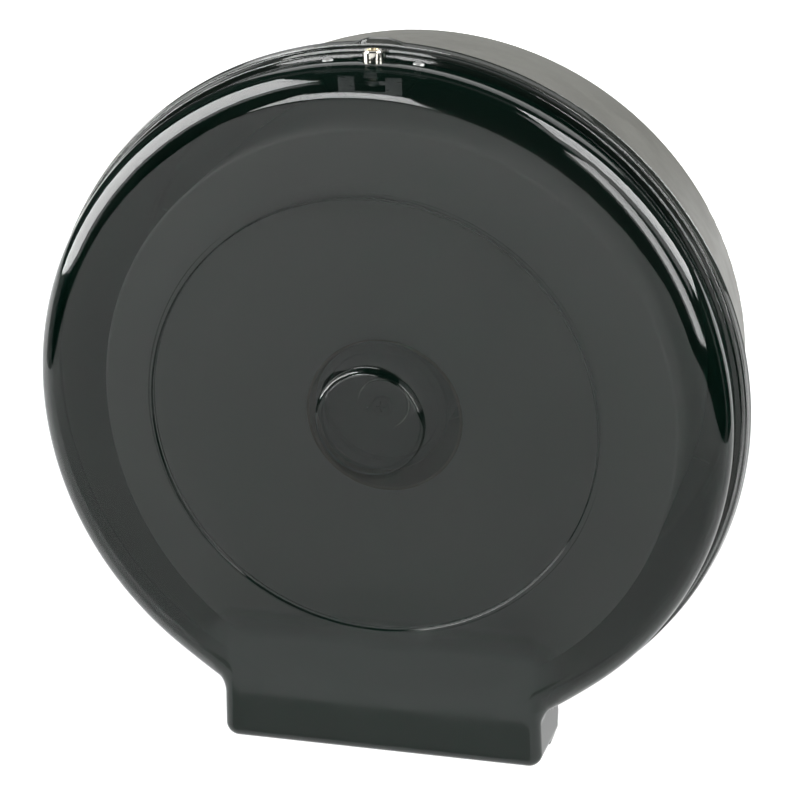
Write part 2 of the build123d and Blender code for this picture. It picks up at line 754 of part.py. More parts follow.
with BuildPart() as hub_bushes:
    with BuildSketch(Plane.XY):
        with BuildLine():
            Polyline(
                (bush_in_r, y_at(hub_web_depth) - bush_flange),
                (tube_out_r, y_at(hub_web_depth) - bush_flange),
                (tube_out_r, y_at(hub_web_depth)),
                (bush_out_r, y_at(hub_web_depth)),
                (bush_out_r, y_at(hub_web_depth) + bush_length),
                (bush_in_r, y_at(hub_web_depth) + bush_length),
                close=True,
            )
        make_face()
        with BuildLine():
            Polyline(
                (bush_in_r, hub_back - post_root_length - bush_length),
                (bush_out_r, hub_back - post_root_length - bush_length),
                (bush_out_r, hub_back - post_root_length),
                (bush_in_r, hub_back - post_root_length),
                close=True,
            )
        make_face()
    revolve(axis=Axis.Y)
hub_bushes.part.label = "hub_bushes"

with BuildPart() as hub_washer:
    with BuildSketch(front_plane(post_end_depth)):
        Circle(washer_r)
        Circle(hub_screw_r + seat_gap, mode=Mode.SUBTRACT)
    extrude(amount=washer_thickness)
hub_washer.part.label = "hub_washer"

with BuildPart() as hub_screw:
    with BuildSketch(front_plane(post_end_depth - washer_thickness)):
        Circle(hub_screw_head_r)
    extrude(amount=hub_screw_head)
    fillet(hub_screw.edges().group_by(Axis.Y)[0], hub_screw_edge_r)
    with BuildSketch(front_plane(post_end_depth - washer_thickness - hub_screw_head)):
        Rectangle(hub_screw_slot_length, hub_screw_slot_width)
        Rectangle(hub_screw_slot_width, hub_screw_slot_length)
    extrude(amount=-hub_screw_slot_depth, mode=Mode.SUBTRACT)
    with BuildSketch(front_plane(post_end_depth - washer_thickness)):
        Circle(hub_screw_r - seat_gap / 2)
    extrude(amount=-(hub_screw_length - hub_screw_r))
hub_screw.part.label = "hub_screw"

# ---------------------------------------------------------------- roll
roll_front = Plane(origin=(0, y_at(roll_front_depth), roll_axis_z), x_dir=(1, 0, 0), z_dir=(0, -1, 0))
with BuildPart() as roll_core:
    with BuildSketch(roll_front):
        Circle(core_bore_r + core_wall)
        Circle(core_bore_r, mode=Mode.SUBTRACT)
    extrude(amount=-roll_width)
roll_core.part.label = "roll_core"

with BuildPart() as paper_roll:
    with BuildSketch(roll_front):
        Circle(roll_r)
        Circle(core_bore_r + core_wall + seat_gap, mode=Mode.SUBTRACT)
    extrude(amount=-roll_width)
    fillet(paper_roll.edges().filter_by(GeomType.CIRCLE).group_by(SortBy.RADIUS)[-1], roll_edge_r)
paper_roll.part.label = "paper_roll"

# ---------------------------------------------------------------- lock
with BuildPart() as lock_barrel:
    with BuildSketch(level_plane(pad_top + seat_gap)):
        with Locations((0, lock_y)):
            Circle(barrel_head_r)
    extrude(amount=barrel_head_height)
    chamfer(lock_barrel.edges().group_by(Axis.Z)[-1], barrel_edge)
    with BuildSketch(level_plane(pad_top + seat_gap)):
        with Locations((0, lock_y)):
            Circle(barrel_r)
    extrude(amount=-(barrel_length + seat_gap))
    with BuildSketch(level_plane(barrel_bottom)):
        with Locations((0, lock_y)):
            Circle(plug_r + plug_running_gap)
    extrude(amount=barrel_length + 2 * barrel_head_height, mode=Mode.SUBTRACT)
lock_barrel.part.label = "lock_barrel"

with BuildPart() as lock_plug:
    with BuildSketch(level_plane(barrel_bottom)):
        with Locations((0, lock_y)):
            Circle(plug_r)
    extrude(amount=plug_top - barrel_bottom)
    with BuildSketch(level_plane(barrel_bottom)):
        with Locations((0, lock_y)):
            Rectangle(tang_width, tang_width)
    extrude(amount=-(barrel_bottom - cam_bottom) + seat_gap)
    with BuildSketch(level_plane(plug_top)):
        with Locations((0, lock_y)):
            Rectangle(keyway_length, keyway_width)
    extrude(amount=-keyway_depth, mode=Mode.SUBTRACT)
    with BuildSketch(level_plane(cam_bottom)):
        with Locations((0, lock_y)):
            Circle(cam_screw_r)
    extrude(amount=cam_screw_length, mode=Mode.SUBTRACT)
lock_plug.part.label = "lock_plug"

with BuildPart() as lock_cam:
    with BuildSketch(level_plane(cam_bottom)):
        with Locations((0, lock_y)):
            Circle(cam_eye_r)
        with Locations((cam_length / 2, lock_y)):
            Rectangle(cam_length, 2 * cam_half_width)
        with Locations((0, lock_y)):
            Rectangle(tang_width + 2 * tang_gap, tang_width + 2 * tang_gap, mode=Mode.SUBTRACT)
    extrude(amount=cam_thickness)
    fillet(lock_cam.edges().filter_by(Axis.Z).group_by(Axis.X)[-1], cam_tip_r)
lock_cam.part.label = "lock_cam"

with BuildPart() as cam_screw:
    with BuildSketch(level_plane(cam_bottom - seat_gap)):
        with Locations((0, lock_y)):
            Circle(cam_screw_head_r)
    extrude(amount=-cam_screw_head)
    with BuildSketch(level_plane(cam_bottom - seat_gap)):
        with Locations((0, lock_y)):
            Circle(cam_screw_r - seat_gap / 2)
    extrude(amount=cam_screw_length - cam_screw_r)
    fillet(cam_screw.edges().group_by(Axis.Z)[0], cam_screw_edge_r)
cam_screw.part.label = "cam_screw"

with BuildPart() as lock_nut:
    with BuildSketch(level_plane(nut_top)):
        with Locations((0, lock_y)):
            RegularPolygon(nut_across_flats / 2, 6, major_radius=False)
            Circle(barrel_r + seat_gap / 2, mode=Mode.SUBTRACT)
    extrude(amount=-nut_thickness)
lock_nut.part.label = "lock_nut"

with BuildPart() as lock_bracket:
    start = Plane.YZ.rotated((0, -bracket_half_angle, 0))
    with BuildSketch(start):
        with Locations((y_at(bracket_front_depth + bracket_width / 2), bracket_in_r + bracket_thickness / 2)):
            Rectangle(bracket_width, bracket_thickness)
    revolve(axis=Axis.Y, revolution_arc=2 * bracket_half_angle)
    with BuildSketch(level_plane(bracket_in_r - bracket_thickness)):
        with Locations((0, lock_y)):
            Circle(barrel_r + barrel_hole_gap)
    extrude(amount=channel_r - bracket_in_r, mode=Mode.SUBTRACT)
    for side in (-1, 1):
        with BuildSketch(rivet_plane(side, bracket_in_r - bracket_thickness)):
            Circle(rivet_shank_r)
        extrude(amount=channel_r - bracket_in_r, mode=Mode.SUBTRACT)
lock_bracket.part.label = "lock_bracket"

with BuildPart() as lock_rivets:
    for side in (-1, 1):
        with BuildSketch(rivet_plane(side, bracket_in_r - seat_gap)):
            Circle(rivet_shank_r - seat_gap)
        extrude(amount=channel_r - bracket_in_r + 2 * seat_gap)
        with BuildSketch(rivet_plane(side, channel_r + seat_gap)):
            Circle(rivet_head_r)
        extrude(amount=rivet_head_height, taper=rivet_head_taper)
        with BuildSketch(rivet_plane(side, bracket_in_r - seat_gap)):
            Circle(rivet_tail_r)
        extrude(amount=-rivet_tail_height, taper=rivet_head_taper)
lock_rivets.part.label = "lock_rivets"

# ---------------------------------------------------------------- keeper
with BuildPart() as lock_keeper:
    with BuildSketch(level_plane(keeper_bottom)):
        with Locations((0, y_at((keeper_tab_depth + keeper_back_depth) / 2))):
            Rectangle(2 * keeper_half_width, keeper_back_depth - keeper_tab_depth)
    extrude(amount=keeper_thickness)
    with BuildSketch(front_plane(keeper_tab_depth)):
        with Locations((0, (keeper_bottom + keeper_tab_top) / 2)):
            Rectangle(2 * keeper_half_width, keeper_tab_top - keeper_bottom)
        with Locations((0, (keeper_top + keeper_notch_floor + keeper_tab_top) / 2)):
            Rectangle(2 * keeper_notch_half, keeper_tab_top - keeper_top - keeper_notch_floor,
                      mode=Mode.SUBTRACT)
    extrude(amount=-keeper_thickness)
    with BuildSketch(level_plane(keeper_bottom)):
        with Locations((0, y_at(keeper_block_depth))):
            with GridLocations(2 * keeper_screw_x, 0, 2, 1):
                Circle(keeper_screw_r + keeper_screw_gap)
    extrude(amount=keeper_thickness, mode=Mode.SUBTRACT)
lock_keeper.part.label = "lock_keeper"

with BuildPart() as keeper_screws:
    with BuildSketch(level_plane(keeper_bottom - seat_gap)):
        with Locations((0, y_at(keeper_block_depth))):
            with GridLocations(2 * keeper_screw_x, 0, 2, 1):
                Circle(keeper_screw_r - seat_gap)
    extrude(amount=keeper_screw_length)
    with BuildSketch(level_plane(keeper_bottom - seat_gap)):
        with Locations((0, y_at(keeper_block_depth))):
            with GridLocations(2 * keeper_screw_x, 0, 2, 1):
                Circle(keeper_screw_head_r)
    extrude(amount=-keeper_screw_head, taper=keeper_screw_taper)
keeper_screws.part.label = "keeper_screws"

# ---------------------------------------------------------------- files
os.makedirs("parts", exist_ok=True)
for piece in (
    front_cover, tear_bar, back_housing, hinge_pins, spindle_post, spindle_screws, roll_hub,
    hub_bushes, hub_washer, hub_screw, roll_core, paper_roll, lock_barrel, lock_plug, lock_cam,
    cam_screw, lock_nut, lock_bracket, lock_rivets, lock_keeper, keeper_screws,
):
    export_step(piece.part, f"parts/{piece.part.label}.step")
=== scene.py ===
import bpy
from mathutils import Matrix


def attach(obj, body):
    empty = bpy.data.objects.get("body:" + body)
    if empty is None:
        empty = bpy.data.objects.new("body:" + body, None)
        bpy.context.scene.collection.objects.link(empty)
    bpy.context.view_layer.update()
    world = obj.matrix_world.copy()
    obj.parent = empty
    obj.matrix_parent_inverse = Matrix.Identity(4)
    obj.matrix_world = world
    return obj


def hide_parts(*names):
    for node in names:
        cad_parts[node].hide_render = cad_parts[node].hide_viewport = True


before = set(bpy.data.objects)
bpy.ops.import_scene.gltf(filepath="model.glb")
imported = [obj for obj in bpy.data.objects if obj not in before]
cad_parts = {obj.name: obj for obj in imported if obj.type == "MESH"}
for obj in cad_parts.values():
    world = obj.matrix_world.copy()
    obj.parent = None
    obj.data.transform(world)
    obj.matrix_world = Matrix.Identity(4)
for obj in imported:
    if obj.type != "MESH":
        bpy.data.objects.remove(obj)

"""Looks of a wall dispenser for one jumbo toilet roll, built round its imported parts.

Sizes are in millimetres, in the part's own frame: +Z up, the front faces -Y, the wall is at Y 0.
A depth is measured from the cover's flat face back towards the wall.
"""

import logging
import math
from dataclasses import dataclass
from enum import Enum

import bpy
import numpy as np
from mathutils import Matrix, Vector

LOG = logging.getLogger("dispenser")
MM = 0.001
FACE_TO_WALL = 125.5
MERGE = 0.001
Array = np.ndarray
Socket = bpy.types.NodeSocket
Pair = tuple[float, float]
Colour = tuple[float, float, float]


# ---------------------------------------------------------------- mesh building
class Surface:
    """Vertices and faces gathered from grids, turned into one mesh object."""

    def __init__(self) -> None:
        """Starts with nothing in it."""
        self.points: list[Array] = []
        self.faces: list[Array] = []
        self.count = 0

    def add(self, points: Array) -> Array:
        """Stores points and gives their indices in the same layout.

        Args:
            points: array whose last axis is x, y, z in millimetres.

        Returns:
            Index array with the shape of points less its last axis.
        """
        flat = np.asarray(points, float).reshape(-1, 3)
        index = np.arange(self.count, self.count + len(flat)).reshape(np.shape(points)[:-1])
        self.points.append(flat)
        self.count += len(flat)
        return index

    def quads(self, grid: Array, wrap: bool = False) -> None:
        """Joins neighbouring rows and columns of an index grid with four-sided faces.

        Args:
            grid: index array, rows by columns.
            wrap: whether the last column joins the first.
        """
        if wrap:
            grid = np.concatenate([grid, grid[:, :1]], axis=1)
        corners = (grid[:-1, :-1], grid[:-1, 1:], grid[1:, 1:], grid[1:, :-1])
        self.faces.append(np.stack([c.ravel() for c in corners], axis=1))

    def fan(self, centre: int, ring: Array, flip: bool = False) -> None:
        """Closes a ring of indices with triangles round one centre point.

        Args:
            centre: index of the centre point.
            ring: indices round it.
            flip: whether the triangles run the other way round.
        """
        following = np.roll(ring, -1)
        pair = (following, ring) if flip else (ring, following)
        self.faces.append(np.stack([np.full(len(ring), centre), *pair], axis=1))

    def build(self, name: str, sharp_angle: float = 35.0) -> bpy.types.Object:
        """Makes the mesh object, smooth but for edges sharper than an angle.

        Args:
            name: the piece's name.
            sharp_angle: degrees between faces above which an edge stays crisp.

        Returns:
            The linked object, at the origin, in metres.
        """
        mesh = bpy.data.meshes.new(name)
        vertices = np.concatenate(self.points) * MM
        sizes = np.concatenate([np.full(len(f), f.shape[1]) for f in self.faces])
        loops = np.concatenate([f.ravel() for f in self.faces])
        mesh.vertices.add(len(vertices))
        mesh.vertices.foreach_set("co", vertices.ravel().astype(np.float32))
        mesh.loops.add(len(loops))
        mesh.loops.foreach_set("vertex_index", loops.astype(np.int32))
        mesh.polygons.add(len(sizes))
        starts = np.concatenate([[0], np.cumsum(sizes)[:-1]])
        mesh.polygons.foreach_set("loop_start", starts.astype(np.int32))
        mesh.update(calc_edges=True)
        mesh.validate()
        return finish_mesh(name, mesh, sharp_angle)


def finish_mesh(name: str, mesh: bpy.types.Mesh, sharp_angle: float) -> bpy.types.Object:
    """Smooths a mesh between its crisp edges and links it as an object.

    Args:
        name: the piece's name.
        mesh: closed mesh in metres.
        sharp_angle: degrees between faces above which an edge stays crisp.

    Returns:
        The linked object.
    """
    mesh.polygons.foreach_set("use_smooth", np.ones(len(mesh.polygons), bool))
    mesh.set_sharp_from_angle(angle=math.radians(sharp_angle))
    piece = bpy.data.objects.new(name, mesh)
    bpy.context.scene.collection.objects.link(piece)
    return piece


def smoothstep(value: Array) -> Array:
    """Ramp from 0 to 1 that leaves and arrives level: 3t^2 - 2t^3 on the clipped value."""
    t = np.clip(value, 0.0, 1.0)
    return t * t * (3.0 - 2.0 * t)


def arc(start: float, end: float, count: int) -> Array:
    """Angles in radians, evenly spaced between two angles in degrees."""
    return np.radians(np.linspace(start, end, count))


def at_depth(x: Array, depth: Array, z: Array) -> Array:
    """Points x, y, z from a front-view position and a depth behind the flat face."""
    x, depth, z = np.broadcast_arrays(x, depth, z)
    return np.stack([x, depth - FACE_TO_WALL, z], axis=-1)


def revolve_y(profile: Array, columns: int, centre_z: float) -> Array:
    """Profile of (radius, depth) rows turned about a line along Y.

    Each column turns the whole profile by an equal share of the full circle:
    x = r sin(t), z = centre + r cos(t).

    Args:
        profile: rows of radius and depth.
        columns: how many steps round the circle.
        centre_z: height of the line.

    Returns:
        Points, rows by columns by 3.
    """
    turn = np.linspace(0.0, 2.0 * np.pi, columns, endpoint=False)
    radius, depth = profile[:, :1], profile[:, 1:2]
    return at_depth(radius * np.sin(turn), depth + 0.0 * turn, centre_z + radius * np.cos(turn))


def closed_profile(name: str, rings: Array) -> bpy.types.Object:
    """Closed skin from rings of points whose last row joins the first.

    Args:
        name: the piece's name.
        rings: points, rows by columns by 3.

    Returns:
        The piece's object.
    """
    skin = Surface()
    grid = skin.add(rings)
    skin.quads(np.concatenate([grid, grid[:1]], axis=0), wrap=True)
    return skin.build(name)


def plate(skin: Surface, outline: Array, near_x: float, far_x: float, bevel: float) -> None:
    """Adds a flat plate across X with rounded-off edges to a surface.

    The outline is drawn in towards its own middle by the bevel at both faces:
    p_in = p + (centre - p) * bevel / |centre - p|.

    Args:
        skin: surface that takes the plate.
        outline: (depth, z) points in order round the plate.
        near_x: one face.
        far_x: the other face, at a larger x.
        bevel: how far each edge is cut back.
    """
    centre = outline.mean(axis=0)
    away = centre - outline
    inner = outline + away * bevel / np.linalg.norm(away, axis=1, keepdims=True)
    levels = ((near_x, inner), (near_x + bevel, outline), (far_x - bevel, outline), (far_x, inner))
    rings = np.stack([at_depth(np.full(len(o), x), o[:, 0], o[:, 1]) for x, o in levels])
    grid = skin.add(rings)
    skin.quads(grid, wrap=True)
    for ring, x, flip in ((grid[0], near_x, True), (grid[-1], far_x, False)):
        middle = skin.add(at_depth(np.array([x]), centre[:1], centre[1:]))
        skin.fan(int(middle[0]), ring, flip)


# ---------------------------------------------------------------- finishes
class Nodes:
    """Short calls for a material's node tree."""

    def __init__(self, name: str) -> None:
        """Makes a material whose Principled shader is kept.

        Args:
            name: the material's name.
        """
        self.material = bpy.data.materials.new(name)
        self.material.use_nodes = True
        self.tree = self.material.node_tree
        self.shader = self.tree.nodes["Principled BSDF"]
        self.place = self.node("ShaderNodeTexCoord").outputs["Object"]

    def node(self, kind: str, **values: object) -> bpy.types.Node:
        """Adds a node and sets its properties."""
        made = self.tree.nodes.new(kind)
        for key, value in values.items():
            setattr(made, key, value)
        return made

    def link(self, source: Socket, target: Socket) -> None:
        """Joins two sockets."""
        self.tree.links.new(source, target)

    def stretched(self, scale: tuple[float, float, float]) -> Socket:
        """Object coordinates scaled along each axis."""
        mapping = self.node("ShaderNodeMapping")
        mapping.inputs["Scale"].default_value = scale
        self.link(self.place, mapping.inputs["Vector"])
        return mapping.outputs["Vector"]

    def noise(self, scale: float, detail: float = 3.0, vector: Socket | None = None,
              roughness: float = 0.5) -> Socket:
        """Value noise on the object's coordinates.

        Args:
            scale: cells per metre.
            detail: octaves.
            vector: other coordinates to read.
            roughness: weight of the finer octaves.

        Returns:
            The noise's value socket.
        """
        made = self.node("ShaderNodeTexNoise")
        made.inputs["Scale"].default_value = scale
        made.inputs["Detail"].default_value = detail
        made.inputs["Roughness"].default_value = roughness
        self.link(vector or self.place, made.inputs["Vector"])
        return made.outputs["Fac"]

    def span(self, value: Socket, low: float, high: float,
             start: float = 0.3, end: float = 0.7) -> Socket:
        """Value remapped from start..end to low..high, and held inside it.

        Args:
            value: socket to remap.
            low: result at the start.
            high: result at the end.
            start: value that gives the low result.
            end: value that gives the high result.

        Returns:
            The remapped socket.
        """
        made = self.node("ShaderNodeMapRange")
        limits = {"From Min": start, "From Max": end, "To Min": low, "To Max": high}
        for key, number in limits.items():
            made.inputs[key].default_value = number
        self.link(value, made.inputs["Value"])
        return made.outputs["Result"]

    def maths(self, kind: str, first: Socket, second: Socket | float = 0.0) -> Socket:
        """One arithmetic step.

        Args:
            kind: the step's name in the Math node.
            first: socket on its left.
            second: socket or number on its right.

        Returns:
            The result's socket.
        """
        made = self.node("ShaderNodeMath", operation=kind)
        self.link(first, made.inputs[0])
        if isinstance(second, Socket):
            self.link(second, made.inputs[1])
        else:
            made.inputs[1].default_value = second
        return made.outputs[0]

    def blend(self, value: Socket, dark: Colour, light: Colour) -> Socket:
        """Colour between two colours.

        Args:
            value: socket that runs from 0 to 1.
            dark: colour at 0.
            light: colour at 1.

        Returns:
            The colour's socket.
        """
        made = self.node("ShaderNodeMix", data_type="RGBA")
        self.link(value, made.inputs["Factor"])
        made.inputs["A"].default_value = (*dark, 1.0)
        made.inputs["B"].default_value = (*light, 1.0)
        return made.outputs["Result"]

    def length(self, vector: Socket) -> Socket:
        """Length of a vector in metres."""
        made = self.node("ShaderNodeVectorMath", operation="LENGTH")
        self.link(vector, made.inputs[0])
        return made.outputs["Value"]

    def bump(self, height: Socket, distance: float) -> None:
        """Adds a bump under what the shader already has.

        Args:
            height: socket that runs from 0 to 1.
            distance: the bump's real height in metres.
        """
        made = self.node("ShaderNodeBump")
        made.inputs["Distance"].default_value = distance
        made.inputs["Strength"].default_value = 1.0
        self.link(height, made.inputs["Height"])
        normal = self.shader.inputs["Normal"]
        if normal.is_linked:
            self.link(normal.links[0].from_socket, made.inputs["Normal"])
        self.link(made.outputs["Normal"], normal)

    def feed(self, socket: str, source: Socket) -> None:
        """Drives one of the shader's sockets."""
        self.link(source, self.shader.inputs[socket])

    def fix(self, **values: object) -> None:
        """Sets plain values on the shader's sockets; an underscore stands for a space."""
        for key, value in values.items():
            self.shader.inputs[key.replace("_", " ")].default_value = value


@dataclass(frozen=True)
class SmokedPlastic:
    """Polished, smoke-tinted plastic that shows what is behind it, and more darkly at a slant."""

    tint: Colour = (0.0010, 0.0070, 0.0045)
    haze: Colour = (0.0020, 0.0110, 0.0070)
    cover: float = 0.53
    slant_cover: float = 0.93
    # painted shade: how opaque the spout and its neck are made, and where, to darken them
    spout_shade_cover: float = 0.95
    spout_shade_z: Pair = (-0.150, -0.140)
    neck_shade_z: Pair = (-0.123, -0.086)
    neck_shade_x: Pair = (0.078, 0.125)
    # painted shade: radius, half width and opacity of the dark line painted along the recess's step
    step_shade_r: float = 0.1118
    step_shade_half: Pair = (0.0003, 0.0005)
    step_shade_cover: float = 0.97
    facing: Pair = (0.15, 0.75)
    gloss: float = 0.03
    shine: float = 0.56
    wave: float = 0.00003

    def build(self, name: str) -> bpy.types.Material:
        """Makes the material; its cover rises from a face seen square on to one seen at a slant.

        The spout with its neck is made nearly opaque, a painted shade that darkens it where shadow
        would show through, and a thin ring at the recess's step is made nearly opaque, a painted
        dark line of shade. Distance from the axis is the length of the place with its depth taken
        out.

        Args:
            name: the material's name.

        Returns:
            The material.
        """
        n = Nodes(name)
        n.fix(IOR=1.5, Specular_IOR_Level=self.shine)
        slant = n.node("ShaderNodeLayerWeight").outputs["Facing"]
        split = n.node("ShaderNodeSeparateXYZ")
        n.link(n.place, split.inputs["Vector"])
        beside = n.maths("ABSOLUTE", split.outputs["X"])
        # painted shade: the neck and the foot of the spout are made nearly opaque dark smoke by
        # position
        neck_shade = n.maths("MULTIPLY", n.span(split.outputs["Z"], self.spout_shade_cover, 0.0, *self.neck_shade_z),
                       n.span(beside, 1.0, 0.0, *self.neck_shade_x))
        foot = n.span(split.outputs["Z"], self.spout_shade_cover, 0.0, *self.spout_shade_z)
        spout_shade = n.maths("MAXIMUM", foot, neck_shade)
        # painted shade: a thin ring at the step's radius is made nearly opaque, a dark line
        off_step_shade = n.maths("SUBTRACT", n.length(n.stretched((1.0, 0.0, 1.0))), self.step_shade_r)
        step = n.span(n.maths("ABSOLUTE", off_step_shade), self.step_shade_cover, 0.0, *self.step_shade_half)
        tilted = n.span(slant, self.cover, self.slant_cover, *self.facing)
        n.feed("Alpha", n.maths("MAXIMUM", tilted, n.maths("MAXIMUM", spout_shade, step)))
        n.feed("Base Color", n.blend(n.span(n.noise(9.0, 2.0), 0.0, 1.0), self.tint, self.haze))
        handling = n.span(n.noise(38.0, 6.0, roughness=0.65), 0.0, 0.05, 0.45, 0.8)
        n.feed("Roughness", n.maths("ADD", handling, self.gloss))
        n.bump(n.noise(26.0, 1.0), self.wave)
        return n.material


@dataclass(frozen=True)
class MouldedPlastic:
    """Opaque moulded plastic with a fine spark-eroded grain."""

    base: Colour
    light: Colour
    roughness: float = 0.45
    grain: float = 0.000006
    grain_scale: float = 2600.0
    sink: float = 0.00008

    def build(self, name: str) -> bpy.types.Material:
        """Makes the material: fine grain over the slow waves that a moulded wall sinks into.

        Args:
            name: the material's name.

        Returns:
            The material.
        """
        n = Nodes(name)
        n.fix(IOR=1.5)
        n.feed("Base Color", n.blend(n.span(n.noise(14.0, 4.0), 0.0, 1.0), self.base, self.light))
        dull, rough = self.roughness - 0.05, self.roughness + 0.07
        n.feed("Roughness", n.span(n.noise(60.0, 5.0), dull, rough))
        n.bump(n.noise(self.grain_scale, 2.0), self.grain)
        n.bump(n.noise(18.0, 1.0), self.sink)
        return n.material


@dataclass(frozen=True)
class Metal:
    """Plain, plated or turned metal, brushed along one axis."""

    base: Colour
    light: Colour
    roughness: float
    brushed: tuple[float, float, float] = (1.0, 1.0, 1.0)
    scratch: float = 0.00002

    def build(self, name: str) -> bpy.types.Material:
        """Makes the material: fine lines along the axis whose scale is small.

        Args:
            name: the material's name.

        Returns:
            The material.
        """
        n = Nodes(name)
        n.fix(Metallic=1.0)
        n.feed("Base Color", n.blend(n.span(n.noise(120.0, 4.0), 0.0, 1.0), self.base, self.light))
        lines = n.noise(900.0, 3.0, n.stretched(self.brushed))
        n.feed("Roughness", n.span(lines, self.roughness * 0.75, self.roughness * 1.35))
        n.bump(lines, self.scratch)
        return n.material


@dataclass(frozen=True)
class Tissue:
    """Soft two-ply tissue wound into a roll, its plies in rings on the sides."""

    base: Colour = (0.80, 0.80, 0.775)
    light: Colour = (0.90, 0.90, 0.88)
    axis_z: float = -6.6
    ply: float = 0.00042
    wander: float = 0.0009
    fluff: float = 0.00025

    def build(self, name: str) -> bpy.types.Material:
        """Makes the material; rings are a wave on the distance from the roll's axis.

        Args:
            name: the material's name.

        Returns:
            The material.
        """
        n = Nodes(name)
        n.fix(Roughness=0.95, Sheen_Weight=0.25, Sheen_Roughness=0.6, Specular_IOR_Level=0.15)
        shift = n.node("ShaderNodeMapping")
        shift.inputs["Location"].default_value = (0.0, 0.0, -self.axis_z * MM)
        n.link(n.place, shift.inputs["Vector"])
        split = n.node("ShaderNodeSeparateXYZ")
        n.link(shift.outputs["Vector"], split.inputs["Vector"])
        x, _, z = split.outputs
        squares = n.maths("ADD", n.maths("MULTIPLY", x, x), n.maths("MULTIPLY", z, z))
        radius = n.maths("SQRT", squares)
        wander = n.maths("MULTIPLY", n.noise(30.0, 3.0), self.wander)
        turns = n.maths("MULTIPLY", n.maths("ADD", radius, wander), 2.0 * math.pi / self.ply)
        ring = n.maths("MULTIPLY", n.maths("ADD", n.maths("SINE", turns), 1.0), 0.5)
        soft = n.noise(520.0, 5.0, roughness=0.7)
        bands = n.noise(900.0, 2.0, self.along(n, radius))
        shade = n.maths("ADD", n.maths("MULTIPLY", bands, 0.6), n.maths("MULTIPLY", ring, 0.25))
        n.feed("Base Color", n.blend(n.span(shade, 0.0, 1.0, 0.2, 0.7), self.base, self.light))
        n.bump(n.maths("ADD", n.maths("MULTIPLY", ring, 0.5), soft), self.fluff)
        return n.material

    @staticmethod
    def along(n: Nodes, value: Socket) -> Socket:
        """Coordinates that change with one value alone."""
        joined = n.node("ShaderNodeCombineXYZ")
        n.link(value, joined.inputs["X"])
        return joined.outputs["Vector"]


@dataclass(frozen=True)
class Board:
    """Spiral-wound grey-brown board of a roll's core."""

    base: Colour = (0.33, 0.24, 0.15)
    light: Colour = (0.50, 0.38, 0.26)

    def build(self, name: str) -> bpy.types.Material:
        """Makes the material: fibres drawn out along the tube.

        Args:
            name: the material's name.

        Returns:
            The material.
        """
        n = Nodes(name)
        n.fix(Roughness=0.9, Specular_IOR_Level=0.2)
        fibres = n.noise(420.0, 6.0, n.stretched((1.0, 0.35, 1.0)), 0.7)
        n.feed("Base Color", n.blend(n.span(fibres, 0.0, 1.0), self.base, self.light))
        n.bump(fibres, 0.0001)
        return n.material


class Finish(Enum):
    """Finishes by the record's slot names."""

    SMOKED = ("smoked_cover", SmokedPlastic())
    STRIP = ("dark_strip", MouldedPlastic((0.012, 0.011, 0.010), (0.02, 0.018, 0.016), 0.4))
    HOUSING = ("housing_grey", MouldedPlastic((0.163, 0.163, 0.143), (0.188, 0.188, 0.166), 0.42))
    DARK = ("dark_moulding", MouldedPlastic((0.022, 0.022, 0.022), (0.034, 0.034, 0.034), 0.45))
    BUSH = ("bush_white", MouldedPlastic((0.70, 0.69, 0.63), (0.78, 0.77, 0.72), 0.4))
    BLACKED = ("steel", Metal((0.020, 0.020, 0.021), (0.035, 0.035, 0.036), 0.5))
    RIVET = ("steel", Metal((0.27, 0.275, 0.27), (0.36, 0.365, 0.36), 0.5))
    STEEL = ("steel", Metal((0.46, 0.47, 0.48), (0.60, 0.61, 0.61), 0.32, (0.15, 1.0, 1.0)))
    CHROME = ("lock_chrome", Metal((0.46, 0.44, 0.40), (0.58, 0.56, 0.51), 0.14, scratch=0.00001))
    BRASS = ("lock_brass", Metal((0.56, 0.43, 0.22), (0.72, 0.58, 0.34), 0.26))
    BOARD = ("core_board", Board())
    TISSUE = ("tissue", Tissue())

    def material(self) -> bpy.types.Material:
        """The finish's material, made on first use."""
        title = self.name.lower() + "_finish"
        return bpy.data.materials.get(title) or self.value[1].build(title)

    def dress(self, piece: bpy.types.Object) -> None:
        """Gives a piece this finish."""
        piece.data.materials.clear()
        piece.data.materials.append(self.material())


def settle(piece: bpy.types.Object, body: str, finish: Finish, *nodes: str) -> bpy.types.Object:
    """Finishes a new piece: its material, what it rides on and which parts it stands for.

    Args:
        piece: the new object.
        body: the body that it moves with.
        finish: its material.
        nodes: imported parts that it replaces.

    Returns:
        The same object.
    """
    finish.dress(piece)
    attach(piece, body)
    if nodes:
        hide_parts(*nodes)
    LOG.info("%s rides on %s, %d faces", piece.name, body, len(piece.data.polygons))
    return piece


def skin_of(node: str, body: str, finish: Finish, sharp_angle: float = 28.0) -> bpy.types.Object:
    """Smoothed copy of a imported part, its doubled points merged.

    Args:
        node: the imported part.
        body: the body that it moves with.
        finish: its material.
        sharp_angle: degrees between faces above which an edge stays crisp.

    Returns:
        The piece that stands for the part.
    """
    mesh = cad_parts[node].data.copy()
    co = np.empty(len(mesh.vertices) * 3, np.float32)
    mesh.vertices.foreach_get("co", co)
    corner = np.empty(len(mesh.loops), np.int32)
    mesh.loops.foreach_get("vertex_index", corner)
    keys = np.round(co.reshape(-1, 3) / (MERGE * MM)).astype(np.int64)
    _, first, merged = np.unique(keys, axis=0, return_index=True, return_inverse=True)
    bpy.data.meshes.remove(mesh)
    triangles = merged.ravel()[corner].reshape(-1, 3)
    a, b, c = triangles.T
    whole = triangles[(a != b) & (b != c) & (a != c)]
    skin = Surface()
    skin.add(co.reshape(-1, 3)[first] / MM)
    skin.faces.append(whole)
    return settle(skin.build(node + "_skin", sharp_angle), body, finish, node)


